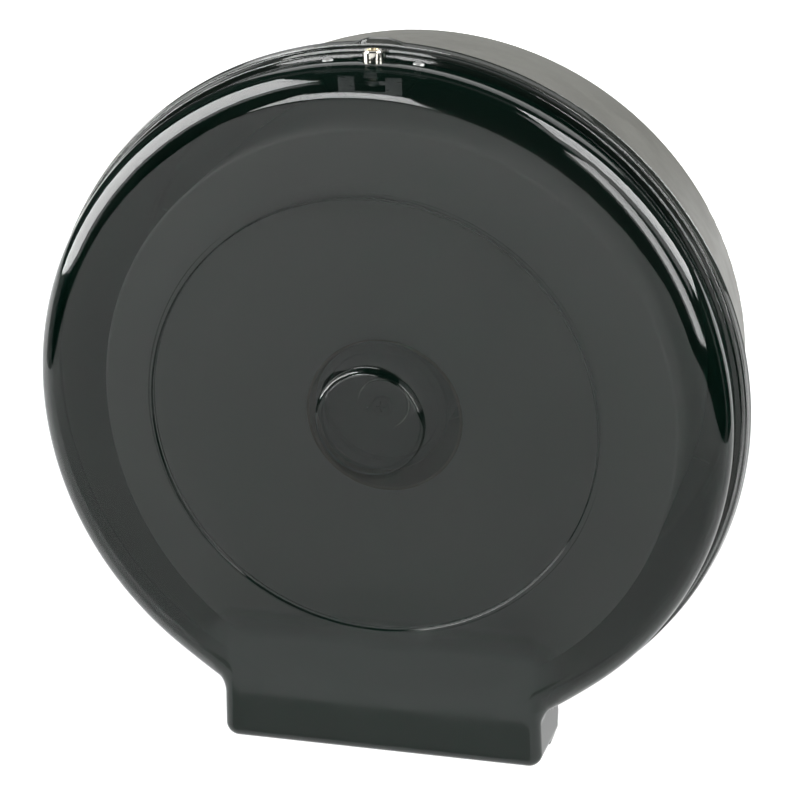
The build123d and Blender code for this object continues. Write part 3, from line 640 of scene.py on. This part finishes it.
# ---------------------------------------------------------------- front cover
@dataclass
class FrontCover:
    """Smoke-tinted cover: a dished round shell that runs into a spout below."""

    wall: float = 2.6
    boss_r: float = 27.3
    boss_proud: float = 3.2
    boss_edge: float = 2.2
    recess_r: float = 112.0
    recess_depth: float = 1.4
    recess_slope: float = 0.3
    bulge_r: float = 15.0
    crest_r: float = 174.2
    rim_depth: float = 37.2
    bead_r: float = 1.5
    front_bead: Pair = (174.7, 27.9)
    rear_bead: Pair = (176.6, 31.2)
    spout_half: float = 82.1
    spout_join_z: float = -147.0
    spout_bottom: float = -181.5
    spout_flare: float = 1.75
    spout_draft: float = 1.2
    spout_edge: float = 5.0
    spout_corner: float = 7.0
    spout_fillet: float = 8.0
    lip_depth: float = 6.6
    pad_top: float = 173.8
    pad_half: float = 9.5
    pad_slope: float = 7.0
    pad_drop: float = 3.2
    pad_depth: Pair = (16.9, 26.3)
    lock_depth: float = 23.5
    spot_r: float = 5.15
    tab_half: float = 13.0
    tab_top: float = 180.7
    tab_shoulder: float = 9.0
    tab_depth: float = 32.6
    nub_r: float = 1.1
    nub_z: float = 8.0
    nub_height: float = 0.3
    hinge_depth: float = 37.0
    hinge_z: float = -171.0
    ear_r: float = 9.5
    ear_reach: float = 11.0
    ear_x: Pair = (77.4, 82.6)
    ear_bevel: float = 0.6
    fine_share: float = 0.05
    fine_columns: int = 40
    round_columns: int = 190
    mixed_columns: int = 12
    hollow_columns: int = 14
    side_columns: int = 13
    corner_columns: int = 14
    bottom_columns: int = 50
    ramp_columns: int = 5

    def outline(self, radius: Array, inset: Array, lean: Array,
                fillet: float) -> tuple[Array, Array, Array]:
        """Front-view outlines for many rows at once, from the top round to the bottom's middle.

        Each is a circle's arc about the axis, a hollow fillet that touches both circle and spout
        side, the flared side, a corner arc and the level bottom. The fillet's centre lies on the
        side's line moved outwards by the fillet's radius, where its distance from the axis is the
        two radii added.

        Args:
            radius: the circle's radius in each row.
            inset: how far the spout is drawn in.
            lean: how far the spout's side leans out.
            fillet: the hollow corner's radius.

        Returns:
            x and z, rows by columns, and each column's share of the spout from 0 to 1.
        """
        flare = math.radians(self.spout_flare)
        along = np.array([math.sin(flare), -math.cos(flare)])
        out = np.array([math.cos(flare), math.sin(flare)])
        rows = len(radius)
        side = np.stack([self.spout_half + lean, np.full(rows, self.spout_join_z)], axis=1)
        start = side - out * inset[:, None]
        moved = start + out * fillet
        middle = (moved * along).sum(1)
        reach = -middle + np.sqrt(middle**2 - (moved**2).sum(1) + (radius + fillet) ** 2)
        hollow = moved + along * reach[:, None]
        touch = np.arctan2(hollow[:, 0], hollow[:, 1])[:, None]
        side_top = hollow - out * fillet
        corner_r = np.maximum(self.spout_corner - inset, 0.5)[:, None]
        bottom = (self.spout_bottom + inset)[:, None]
        corner_z = bottom + corner_r
        corner_x = ((start * out).sum(1)[:, None] - corner_r - out[1] * corner_z) / out[0]
        fine = np.linspace(0.0, self.fine_share, self.fine_columns, endpoint=False)
        t = np.concatenate([fine, np.linspace(self.fine_share, 1.0, self.round_columns)])
        round_x = radius[:, None] * np.sin(touch * t)
        round_z = radius[:, None] * np.cos(touch * t)
        # the hollow arc runs from facing the axis to facing the spout's side
        turn_from = touch - np.pi
        turn_to = math.atan2(-out[0], -out[1])
        t_hollow = np.linspace(0.0, 1.0, self.hollow_columns + 1)[1:]
        turn = turn_from + (turn_to - turn_from) * t_hollow
        hollow_x = hollow[:, :1] + fillet * np.sin(turn)
        hollow_z = hollow[:, 1:] + fillet * np.cos(turn)
        t_side = np.linspace(0.0, 1.0, self.side_columns + 1)[1:]
        side_end_x, side_end_z = corner_x + corner_r * out[0], corner_z + corner_r * out[1]
        side_x = side_top[:, :1] + (side_end_x - side_top[:, :1]) * t_side
        side_z = side_top[:, 1:] + (side_end_z - side_top[:, 1:]) * t_side
        bend = np.linspace(flare, -np.pi / 2, self.corner_columns + 1)[1:]
        bend_x, bend_z = corner_x + corner_r * np.cos(bend), corner_z + corner_r * np.sin(bend)
        t_low = np.linspace(1.0, 0.0, self.bottom_columns + 1)[1:]
        low_x, low_z = corner_x * t_low, bottom + 0.0 * t_low
        x = np.concatenate([round_x, hollow_x, side_x, bend_x, low_x], axis=1)
        z = np.concatenate([round_z, hollow_z, side_z, bend_z, low_z], axis=1)
        share = np.ones(x.shape[1])
        mix_from = len(t) - self.mixed_columns
        mix_to = len(t) + self.hollow_columns
        share[:mix_from] = 0.0
        share[mix_from:mix_to] = smoothstep(np.linspace(0.0, 1.0, mix_to - mix_from))
        return x, z, share

    def end_depth(self, columns: int) -> Array:
        """Depth at which the wall ends in each column: the rim, or the lip at the spout's bottom.

        Between the two it follows a smooth ramp over the spout's corner.

        Args:
            columns: how many columns the outline has.

        Returns:
            One depth for each column.
        """
        depth = np.full(columns, self.rim_depth)
        bottom = columns - self.bottom_columns
        depth[bottom:] = self.lip_depth
        ramp = smoothstep(np.linspace(0.1, 1.0, self.ramp_columns))
        rise = (self.lip_depth - self.rim_depth) * ramp
        depth[bottom - self.ramp_columns:bottom] = self.rim_depth + rise
        return depth

    def shell_rows(self, profile: Array, edge: Array, inset: float, inner: bool) -> Array:
        """Front-view positions and depths of the shell's side, row by row.

        Depth is blended between the round body's row and the spout's row by the column's share.

        Args:
            profile: (radius, depth) rows of the round body behind its rounded shoulder.
            edge: angles across the rounded shoulder, 0 on the face and 90 on the side.
            inset: wall thickness that the surface is drawn in by.
            inner: whether this is the inside surface.

        Returns:
            Points of the right half, rows by columns by 3.
        """
        bulge = self.bulge_r - inset
        nose = self.spout_edge - inset
        centre_r = self.crest_r - self.bulge_r
        round_r = np.concatenate([centre_r + bulge * np.sin(edge), profile[:, 0]])
        round_d = np.concatenate([self.bulge_r - bulge * np.cos(edge), profile[:, 1]])
        travel = (profile[:, 1] - self.bulge_r) / (self.rim_depth - self.bulge_r)
        rounded = self.spout_edge - nose * np.sin(edge)
        drawn = np.concatenate([rounded, np.full(len(profile), inset)])
        near_d = self.spout_edge - nose * np.cos(edge)
        side_d = self.spout_edge + travel * (self.rim_depth - self.spout_edge)
        spout_d = np.concatenate([near_d, side_d])
        lean = self.spout_draft * spout_d / self.rim_depth
        x, z, share = self.outline(round_r, drawn, lean, self.spout_fillet + inset)
        ends = self.end_depth(x.shape[1])
        back = self.spout_edge + travel[:, None] * (ends - self.spout_edge)
        spout_depth = np.concatenate([near_d[:, None] + 0.0 * ends, back])
        depth = round_d[:, None] * (1.0 - share) + spout_depth * share
        if not inner:
            z = self.raise_pad(x, z, depth)
        return at_depth(x, depth, z)

    def raise_pad(self, x: Array, z: Array, depth: Array) -> Array:
        """Lifts the lock's flat pad out of the plain band, and the finger tab out of the rim.

        The pad's height falls off in a straight slope beyond its half width. The tab rises on
        smooth shoulders, and the front bead is faced down to the pad round the lock's axis.

        Args:
            x: positions across, rows by columns.
            z: heights.
            depth: depths behind the flat face.

        Returns:
            The new heights.
        """
        beyond = np.abs(x) - self.pad_half
        slope = self.pad_top - np.maximum(beyond, 0.0) * self.pad_drop / self.pad_slope
        low, high = self.pad_depth
        band = (depth > low) & (depth < high) & (z > 0) & (beyond < self.pad_slope)
        z = np.where(band, np.maximum(z, slope), z)
        off_axis = np.hypot(x, depth - self.lock_depth)
        faced = smoothstep((self.spot_r + 0.2 - off_axis) / 0.4) * (z > 0)
        z = z + (np.minimum(z, self.pad_top) - z) * faced
        rise = smoothstep((self.tab_half - np.abs(x)) / self.tab_shoulder)
        rise = rise * smoothstep(depth - self.tab_depth)
        return z + (np.maximum(z, self.tab_top) - z) * rise * (z > 0)

    def outer_profile(self) -> Array:
        """Radius and depth of the outside from the shoulder to the rim, with its two beads."""
        turn = arc(-80.0, 80.0, 11)
        round_bead = self.bead_r * np.stack([np.cos(turn), np.sin(turn)], axis=1)
        front, rear = round_bead + self.front_bead, round_bead + self.rear_bead
        plain = [(174.2, 15.5), (174.2, 17.0), (174.15, 18.6), (174.05, 19.9), (173.8, 20.7),
                 (173.4, 21.3), (173.2, 21.9), (173.2, 24.0), (173.2, 25.6), (173.35, 26.1),
                 (173.9, 26.35)]
        skirt = [(177.7, 32.9), (178.45, 33.0), (178.6, 34.2), (178.8, 35.6), (179.0, 36.7),
                 (179.1, 36.9)]
        return np.concatenate([plain, front, rear, skirt, [(178.7, self.rim_depth)]])

    def inner_profile(self) -> Array:
        """Radius and depth of the inside from the shoulder to the rim."""
        rows = [(171.6, 15.4), (171.1, 16.0), (170.6, 16.7), (170.6, 20.0), (170.6, 25.0),
                (170.6, 29.4), (170.8, 29.8), (173.5, 30.35), (176.2, 30.95), (176.5, 31.4),
                (176.5, 34.0), (176.5, 36.7), (176.7, 37.05)]
        return np.array(rows + [(177.1, self.rim_depth)])

    def face_rings(self, inner: bool) -> Array:
        """Radius and depth of the round features on the face, from the middle out to the recess.

        Args:
            inner: whether this is the inside surface.

        Returns:
            Rows of radius and depth.
        """
        if inner:
            floor = self.recess_depth + self.wall
            low_r, low_d = self.boss_r - self.wall, self.wall - self.boss_proud
            top_r = self.recess_r + self.wall
            return np.array([
                (3.0, low_d), (14.0, low_d), (low_r - 0.6, low_d), (low_r, low_d + 0.6),
                (low_r, floor - 0.5), (low_r + 0.5, floor), (50.0, floor), (80.0, floor),
                (110.0, floor), (top_r - self.recess_slope, floor), (top_r, self.wall),
            ])
        edge = arc(0.0, 90.0, 9)
        flat = [(r, -self.boss_proud) for r in (6.0, 13.0, 20.0)]
        rounded = np.stack([self.boss_r - self.boss_edge + self.boss_edge * np.sin(edge),
                            self.boss_edge * (1 - np.cos(edge)) - self.boss_proud], axis=1)
        floor, boss_r, top_r = self.recess_depth, self.boss_r, self.recess_r
        foot = [(boss_r, floor - 0.6), (boss_r + 0.2, floor - 0.15), (boss_r + 0.6, floor)]
        wide = [(r, floor) for r in (34.0, 50.0, 66.0, 82.0, 98.0)]
        low_r = top_r - self.recess_slope
        step = [(low_r - 0.5, floor), (low_r - 0.1, floor - 0.05), (low_r, floor - 0.25),
                (low_r + 0.12, 0.7), (top_r - 0.02, 0.3), (top_r + 0.12, 0.08), (top_r + 0.5, 0.0)]
        return np.concatenate([flat, rounded, foot, wide, step])

    def face(self, skin: Surface, shoulder: Array, first_row: Array, inner: bool) -> None:
        """Joins the shoulder's first row to the middle of the face.

        Rings are circles at the polar angle of the shoulder's points, and the flat between the
        recess and the shoulder is drawn straight between the two.

        Args:
            skin: surface that takes the face.
            shoulder: points of the shoulder's first row, right round.
            first_row: the same points' indices in the surface.
            inner: whether this is the inside surface.
        """
        rings = self.face_rings(inner)
        turn = np.arctan2(shoulder[:, 0], shoulder[:, 2])
        x, z = rings[:, :1] * np.sin(turn), rings[:, :1] * np.cos(turn)
        round_rows = at_depth(x, rings[:, 1:] + 0.0 * turn, z)
        share = np.linspace(0.0, 1.0, 9)[1:-1, None, None]
        flat = round_rows[-1] * (1 - share) + shoulder * share
        grid = skin.add(np.concatenate([round_rows, flat]))
        whole = np.concatenate([grid, first_row[None]])
        centre = skin.add(at_depth(np.zeros(1), rings[:1, 1], np.zeros(1)))
        if inner:
            whole = whole[::-1]
        skin.quads(whole, wrap=True)
        skin.fan(int(centre[0]), grid[0], flip=not inner)

    def build(self) -> None:
        """Makes the shell, its hinge ears and the gate's mark."""
        edge = arc(0.0, 90.0, 17)
        right = (self.shell_rows(self.outer_profile(), edge, 0.0, inner=False),
                 self.shell_rows(self.inner_profile(), edge, self.wall, inner=True))
        mirror = np.array([-1.0, 1.0, 1.0])
        outer, inner = (np.concatenate([rows, rows[:, -2:0:-1] * mirror], axis=1) for rows in right)
        skin = Surface()
        outer_grid, inner_grid = skin.add(outer), skin.add(inner)
        skin.quads(np.concatenate([outer_grid, inner_grid[::-1]]), wrap=True)
        self.face(skin, outer[0], outer_grid[0], inner=False)
        self.face(skin, inner[0], inner_grid[0], inner=True)
        settle(skin.build("cover_shell", 32.0), "cover", Finish.SMOKED, "front_cover")
        self.build_ears()
        self.build_nub()

    def build_ears(self) -> None:
        """Makes the two round-ended ears that carry the hinge pins."""
        skin = Surface()
        turn = arc(-90.0, 90.0, 33)
        flat = np.linspace(1.0, -1.0, 9)
        across = np.concatenate([self.ear_r * np.cos(turn), np.full(9, -self.ear_reach)])
        height = self.ear_r * np.concatenate([np.sin(turn), flat])
        shape = np.stack([self.hinge_depth + across, self.hinge_z + height], axis=1)
        near, far = self.ear_x
        plate(skin, shape, near, far, self.ear_bevel)
        plate(skin, shape, -far, -near, self.ear_bevel)
        settle(skin.build("cover_ears", 40.0), "cover", Finish.SMOKED, "front_cover")

    def build_nub(self) -> None:
        """Makes the moulding's trimmed gate on the boss.

        It is a low dome: radius = nub_r cos(a), height = nub_height sin(a).
        """
        skin = Surface()
        rise = arc(0.0, 75.0, 6)
        low, high = -self.boss_proud + 0.05, -self.boss_proud - self.nub_height
        dome_d = -self.boss_proud - self.nub_height * np.sin(rise)
        dome = np.stack([self.nub_r * np.cos(rise), dome_d], axis=1)
        profile = np.concatenate([[(self.nub_r, low)], dome])
        rings = skin.add(revolve_y(profile, 24, self.nub_z))
        skin.quads(rings[::-1], wrap=True)
        ends = skin.add(at_depth(np.zeros(2), np.array([low, high]), self.nub_z))
        skin.fan(int(ends[0]), rings[0])
        skin.fan(int(ends[1]), rings[-1], flip=True)
        settle(skin.build("gate_nub", 50.0), "cover", Finish.SMOKED, "front_cover")


@dataclass
class TearBar:
    """Dark strip along the spout's lip, toothed along its back edge."""

    teeth: int = 36
    pitch: float = 4.0
    tooth: float = 3.0
    plain_end: float = 3.0
    front: float = 3.0
    reach: float = 8.3
    seat_z: float = -178.85
    thickness: float = 1.3
    tip_thickness: float = 0.35
    root_land: float = 0.6
    chamfer: Pair = (2.1, 1.1)

    def build(self) -> None:
        """Makes the strip: a six-sided profile carried along X whose back edge zigzags."""
        half = self.teeth * self.pitch / 2
        steps = np.arange(2 * self.teeth + 1)
        ends = half + self.plain_end
        x = np.concatenate([[-ends], steps * self.pitch / 2 - half, [ends]])
        back = self.reach - self.tooth * np.concatenate([[1], steps % 2, [1]])
        root = self.reach - self.tooth - self.root_land
        thin = np.where(back > root + 1.0, self.tip_thickness, self.thickness)
        low, top = self.seat_z, self.seat_z + self.thickness
        cut_d, cut_z = self.chamfer
        profile = [(self.front, top), (self.front, low + cut_z), (self.front + cut_d, low),
                   (back, low), (back, low + thin), (root, top)]
        rings = np.stack([at_depth(x, d + 0.0 * x, z + 0.0 * x) for d, z in profile], axis=1)
        skin = Surface()
        grid = skin.add(rings)
        skin.quads(grid[::-1], wrap=True)
        for end, flip in ((0, True), (-1, False)):
            middle = skin.add(rings[end].mean(axis=0)[None])
            skin.fan(int(middle[0]), grid[end], flip)
        settle(skin.build("tear_strip", 25.0), "cover", Finish.STRIP, "tear_bar")


@dataclass
class PaperRoll:
    """Full roll of tissue on its board core, hanging on the hub."""

    radius: float = 146.0
    bore: float = 39.8
    core_inside: float = 38.1
    front: float = 25.0
    width: float = 90.0
    edge: float = 1.6
    axis_z: float = -6.6
    sag: float = 8.0
    sag_back: float = 4.5
    plies: int = 110
    columns: int = 240
    core_columns: int = 144
    crown: float = 0.25
    seed: int = 7

    def build(self) -> None:
        """Makes the roll and its core.

        The roll's flat sides step in and out by a seeded ripple from ring to ring, as wound plies
        do, and its outside is crowned by a small parabola across the width.
        """
        rng = np.random.default_rng(self.seed)
        back = self.front + self.width
        ring_r = np.linspace(self.bore + 0.4, self.radius - self.edge, self.plies)
        drift = np.convolve(rng.normal(0.0, 1.0, len(ring_r) + 8), np.ones(9) / 9, "valid")
        ripple = 0.10 + 0.07 * rng.random(len(ring_r)) + 0.05 * drift
        turn = arc(0.0, 90.0, 7)
        front_edge = np.stack([self.radius - self.edge + self.edge * np.sin(turn),
                               self.front + self.edge * (1 - np.cos(turn))], axis=1)
        across = np.linspace(-1.0, 1.0, 15)[1:-1]
        outside = np.stack([self.radius - self.crown * across**2,
                            self.front + self.width * (across + 1) / 2], axis=1)
        back_edge = np.stack([self.radius - self.edge + self.edge * np.cos(turn),
                              back - self.edge * (1 - np.sin(turn))], axis=1)
        near = np.stack([ring_r, self.front + np.clip(ripple, 0.02, 0.4)], axis=1)
        far = np.stack([ring_r, back - np.clip(ripple[::-1], 0.02, 0.4)], axis=1)[::-1]
        bore = [(self.bore, back - 0.3), (self.bore, self.front + 0.3)]
        profile = np.concatenate([near, front_edge, outside, back_edge, far, bore])
        rings = self.slacken(revolve_y(profile, self.columns, self.axis_z), profile)
        settle(closed_profile("tissue_roll", rings[::-1]), "roll", Finish.TISSUE, "paper_roll")
        a, b = self.core_inside, self.bore - 0.1
        core = np.array([(a, self.front + 0.5), (a + 0.4, self.front), (b, self.front), (b, back),
                         (a + 0.4, back), (a, back - 0.5), (a, (self.front + back) / 2)])
        tube = closed_profile("board_core", revolve_y(core, self.core_columns, self.axis_z)[::-1])
        settle(tube, "roll", Finish.BOARD, "roll_core")

    def slacken(self, rings: Array, profile: Array) -> Array:
        """Lets the outer plies hang slack below, more at the front than at the back.

        A point at angle t from the top moves out by sag * max(0, -cos t)^2.4, times the square of
        its share of the way from the bore to the outside.

        Args:
            rings: points of the wound roll, rows by columns by 3.
            profile: radius and depth of each row.

        Returns:
            The moved points.
        """
        turn = np.linspace(0.0, 2.0 * np.pi, rings.shape[1], endpoint=False)
        below = np.maximum(0.0, -np.cos(turn)) ** 2.4
        wound = (profile[:, 0] - self.bore) / (self.radius - self.bore)
        outward = np.clip(wound, 0.0, 1.0) ** 2
        travel = (profile[:, 1] - self.front) / self.width
        move = (self.sag + (self.sag_back - self.sag) * travel) * outward
        away = np.stack([np.sin(turn), np.zeros_like(turn), np.cos(turn)], axis=-1)
        return rings + move[:, None, None] * below[None, :, None] * away[None]


@dataclass
class Lock:
    """Cam lock on the cover's top, with the strip that it is clamped through."""

    depth: float = 23.5
    rivet_x: float = 22.1
    rivet_r: float = 2.7
    rivet_height: float = 1.35
    rivet_rim: float = 0.25
    rivet_length: float = 4.6
    seat_r: float = 173.25

    def build(self) -> None:
        """Makes the smoothed metal parts and the rivets' domes."""
        for node, body, finish in (
            ("lock_barrel", "cover", Finish.CHROME), ("lock_plug", "lock", Finish.BRASS),
            ("lock_nut", "cover", Finish.STEEL), ("lock_bracket", "cover", Finish.STEEL),
            ("lock_cam", "lock", Finish.STEEL), ("cam_screw", "lock", Finish.STEEL),
        ):
            skin_of(node, body, finish)
        self.build_rivets()

    def build_rivets(self) -> None:
        """Makes two domed rivets whose axes point away from the spindle's axis.

        Each is a profile turned about its own axis:
        p = foot + up * h + side * r cos(t) + depth * r sin(t).
        """
        skin = Surface()
        turn = np.linspace(0.0, 2 * np.pi, 40, endpoint=False)
        dome = arc(0.0, 80.0, 9)
        rise = self.rivet_height - self.rivet_rim
        head = np.stack([self.rivet_r * np.cos(dome), self.rivet_rim + rise * np.sin(dome)], axis=1)
        shank = [(1.4, -self.rivet_length), (2.2, -4.5), (2.2, -4.3), (1.4, -4.25), (1.4, 0.0)]
        profile = np.concatenate([shank, [(self.rivet_r, 0.0)], head])
        inwards = np.array([0.0, 1.0, 0.0])
        for side in (-1.0, 1.0):
            angle = math.asin(self.rivet_x / self.seat_r) * side
            up = np.array([math.sin(angle), 0.0, math.cos(angle)])
            across = np.array([math.cos(angle), 0.0, -math.sin(angle)])
            foot = up * self.seat_r + np.array([0.0, self.depth - FACE_TO_WALL, 0.0])
            r, h = profile[:, :1, None], profile[:, 1:, None]
            ring = across * np.cos(turn)[:, None] + inwards * np.sin(turn)[:, None]
            grid = skin.add(foot + up * h + ring * r)
            skin.quads(grid[::-1], wrap=True)
            top = skin.add((foot + up * self.rivet_height)[None])
            low = skin.add((foot - up * self.rivet_length)[None])
            skin.fan(int(top[0]), grid[-1], flip=True)
            skin.fan(int(low[0]), grid[0])
        settle(skin.build("rivets", 30.0), "cover", Finish.RIVET, "lock_rivets")


@dataclass
class Tray:
    """Back housing with its hinge pins, keeper and spindle, and the hub that turns on it."""

    fixed: tuple[tuple[str, Finish], ...] = (
        ("back_housing", Finish.HOUSING), ("hinge_pins", Finish.STEEL),
        ("lock_keeper", Finish.STEEL), ("keeper_screws", Finish.STEEL),
        ("spindle_post", Finish.DARK), ("spindle_screws", Finish.STEEL),
        ("hub_washer", Finish.DARK), ("hub_screw", Finish.BLACKED),
    )
    turning: tuple[tuple[str, Finish], ...] = (
        ("roll_hub", Finish.DARK), ("hub_bushes", Finish.BUSH),
    )

    def build(self) -> None:
        """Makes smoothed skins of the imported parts."""
        for body, parts in (("housing", self.fixed), ("hub", self.turning)):
            for node, finish in parts:
                skin_of(node, body, finish)


# ---------------------------------------------------------------- studio
def direction(azimuth: float, elevation: float) -> Vector:
    """Unit vector towards a direction: (sin a cos e, -cos a cos e, sin e).

    Args:
        azimuth: degrees to the right of the front.
        elevation: degrees above the level.

    Returns:
        The vector.
    """
    a, e = math.radians(azimuth), math.radians(elevation)
    return Vector((math.sin(a) * math.cos(e), -math.cos(a) * math.cos(e), math.sin(e)))


@dataclass(frozen=True)
class Softbox:
    """Rectangular lamp that faces the object from a direction, by the angles that it spans.

    Its light on matt surfaces and its brightness in reflections are set apart, as a studio does
    with a lamp and a white card.
    """

    name: str
    azimuth: float
    elevation: float
    wide: float
    tall: float
    lit: float
    mirrored: float
    distance: float = 6.0

    def hang(self) -> None:
        """Hangs the lamp and its card; power is radiance times area times pi."""
        place = direction(self.azimuth, self.elevation) * self.distance
        for use, radiance in (("lamp", self.lit), ("card", self.mirrored)):
            data = bpy.data.lights.new(f"{self.name}_{use}", "AREA")
            data.shape = "RECTANGLE"
            data.size = 2 * self.distance * math.tan(math.radians(self.wide / 2))
            data.size_y = 2 * self.distance * math.tan(math.radians(self.tall / 2))
            data.energy = radiance * math.pi * data.size * data.size_y
            made = bpy.data.objects.new(data.name, data)
            made.location = place
            made.rotation_mode = "QUATERNION"
            made.rotation_quaternion = (-place).to_track_quat("-Z", "Y")
            made.visible_glossy = use == "card"
            made.visible_diffuse = use == "lamp"
            data.cycles.use_multiple_importance_sampling = use == "card"
            bpy.context.scene.collection.objects.link(made)


def level_sheet(skin: Surface, across: Array, along: Array, z: float) -> None:
    """Adds a level grid at a height to a surface, from its x and y values."""
    x, y = np.meshgrid(across, along)
    skin.quads(skin.add(np.stack([x, y, np.full_like(x, z)], axis=-1)))


@dataclass(frozen=True)
class Flags:
    """Black cards round two sides of the table and a grey one on it, for reflections alone."""

    azimuth: float = 16.0
    left: tuple[Pair, ...] = ((-2000.0, 700.0), (-2000.0, -2400.0))
    right: tuple[Pair, ...] = ((1500.0, 700.0), (1500.0, -3200.0), (300.0, -3200.0))
    foot: float = -560.0
    left_top: float = -40.0
    right_top: float = 0.0
    grey_x: Pair = (-440.0, 0.0)
    grey_y: Pair = (-860.0, -600.0)
    grey_z: float = -559.0

    def build(self) -> None:
        """Makes the black cards and the grey one.

        The black ones stand on two bent lines at the camera's own left and right. The grey one lies
        where the flat front of the spout mirrors it.
        """
        skin = Surface()
        turn = math.radians(self.azimuth)
        across = np.array([[math.cos(turn), math.sin(turn)], [-math.sin(turn), math.cos(turn)]])
        for corners, top in ((self.left, self.left_top), (self.right, self.right_top)):
            line = np.array(corners) @ across
            walls = [np.column_stack([line, np.full(len(line), z)]) for z in (self.foot, top)]
            skin.quads(skin.add(np.stack(walls)))
        self.dress(skin, "flags", (0.004, 0.004, 0.004), (0.008, 0.008, 0.008))
        skin = Surface()
        level_sheet(skin, np.array(self.grey_x), np.array(self.grey_y), self.grey_z)
        self.dress(skin, "grey_card", (0.56, 0.56, 0.55), (0.60, 0.60, 0.59))

    def dress(self, skin: Surface, name: str, dark: Colour, light: Colour) -> None:
        """Makes a card of dull paper that only glossy rays see.

        Args:
            skin: the card's surface.
            name: name of the card and of its paper.
            dark: the paper's darker tone.
            light: its lighter tone.
        """
        piece = skin.build(name)
        n = Nodes(name)
        n.fix(Roughness=0.9, Specular_IOR_Level=0.0)
        n.feed("Base Color", n.blend(n.noise(4.0), dark, light))
        piece.data.materials.append(n.material)
        piece.visible_camera = False
        piece.visible_diffuse = False
        piece.visible_transmission = False
        piece.visible_shadow = False


@dataclass
class Studio:
    """White table, softboxes in a dim room and a camera at the photograph's angle."""

    floor_z: float = -560.0
    floor_half: float = 9000.0
    floor_lift: float = 0.28
    far_lift: float = 0.95
    far_span: Pair = (1.2, 3.2)
    room: float = 0.045
    camera_at: tuple[float, float, float] = (349.0, -1322.4, 502.1)
    azimuth: float = 16.255
    elevation: float = 21.937
    roll: float = -1.76
    lens: float = 125.1
    shift: Pair = (0.0375, 0.0275)
    softboxes: tuple[Softbox, ...] = (
        Softbox("softbox_left", -76.0, 26.0, 40.0, 66.0, 3.6, 13.0),
        Softbox("softbox_right", 62.0, 24.0, 20.0, 50.0, 4.2, 12.0),
        Softbox("softbox_back_right", 118.0, 36.0, 30.0, 52.0, 1.4, 11.0),
        Softbox("softbox_front", -17.0, 10.0, 14.0, 18.0, 0.5, 13.0),
        Softbox("softbox_behind", 186.0, 27.0, 50.0, 28.0, 0.8, 1.0),
        Softbox("softbox_above", -30.0, 68.0, 50.0, 50.0, 1.75, 0.0),
    )

    def backdrop(self) -> None:
        """Sets a dim, even room behind the table."""
        world = bpy.data.worlds.new("studio")
        bpy.context.scene.world = world
        world.use_nodes = True
        back = world.node_tree.nodes["Background"]
        back.inputs["Color"].default_value = (1.0, 1.0, 1.0, 1.0)
        back.inputs["Strength"].default_value = self.room

    def floor(self) -> None:
        """Lays a wide white table, lifted to white most where the lamps' light falls off."""
        skin = Surface()
        steps = np.linspace(-self.floor_half, self.floor_half, 5)
        level_sheet(skin, steps, steps, self.floor_z)
        piece = skin.build("floor")
        n = Nodes("pale_floor")
        n.fix(Roughness=0.9, Specular_IOR_Level=0.1, Emission_Color=(1.0, 1.0, 1.0, 1.0))
        n.feed("Base Color", n.blend(n.span(n.noise(2.0, 2.0), 0.0, 1.0),
                                     (0.815, 0.815, 0.815), (0.825, 0.825, 0.825)))
        ray = n.node("ShaderNodeLightPath").outputs
        seen = n.maths("MAXIMUM", n.maths("MAXIMUM", ray["Is Camera Ray"], ray["Is Glossy Ray"]),
                       ray["Is Transmission Ray"])
        lift = n.span(n.length(n.place), self.floor_lift, self.far_lift, *self.far_span)
        n.feed("Emission Strength", n.maths("MULTIPLY", lift, seen))
        piece.data.materials.append(n.material)

    def camera(self) -> None:
        """Puts the camera at the photograph's place, turned by azimuth, elevation and roll."""
        data = bpy.data.cameras.new("camera")
        data.sensor_width = 36.0
        data.lens = self.lens
        data.shift_x, data.shift_y = self.shift
        back = direction(self.azimuth, self.elevation)
        right = direction(self.azimuth + 90.0, 0.0)
        up = back.cross(right)
        roll = Matrix.Rotation(math.radians(self.roll), 3, "Z")
        turn = Matrix((right, up, back)).transposed() @ roll
        made = bpy.data.objects.new("camera", data)
        made.rotation_mode = "QUATERNION"
        made.rotation_quaternion = turn.to_quaternion()
        made.location = Vector(self.camera_at) * MM
        bpy.context.scene.collection.objects.link(made)
        bpy.context.scene.camera = made

    def build(self) -> None:
        """Sets the whole studio up."""
        bpy.context.scene.view_settings.view_transform = "Standard"
        self.backdrop()
        self.floor()
        for softbox in self.softboxes:
            softbox.hang()
        Flags().build()
        self.camera()


def main() -> None:
    """Builds every piece in order."""
    logging.basicConfig(level=logging.INFO, format="%(name)s: %(message)s")
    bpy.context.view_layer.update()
    Studio().build()
    for part in (FrontCover(), TearBar(), PaperRoll(), Lock(), Tray()):
        part.build()
        LOG.info("%s done", type(part).__name__)


if __name__ == "__main__":
    main()
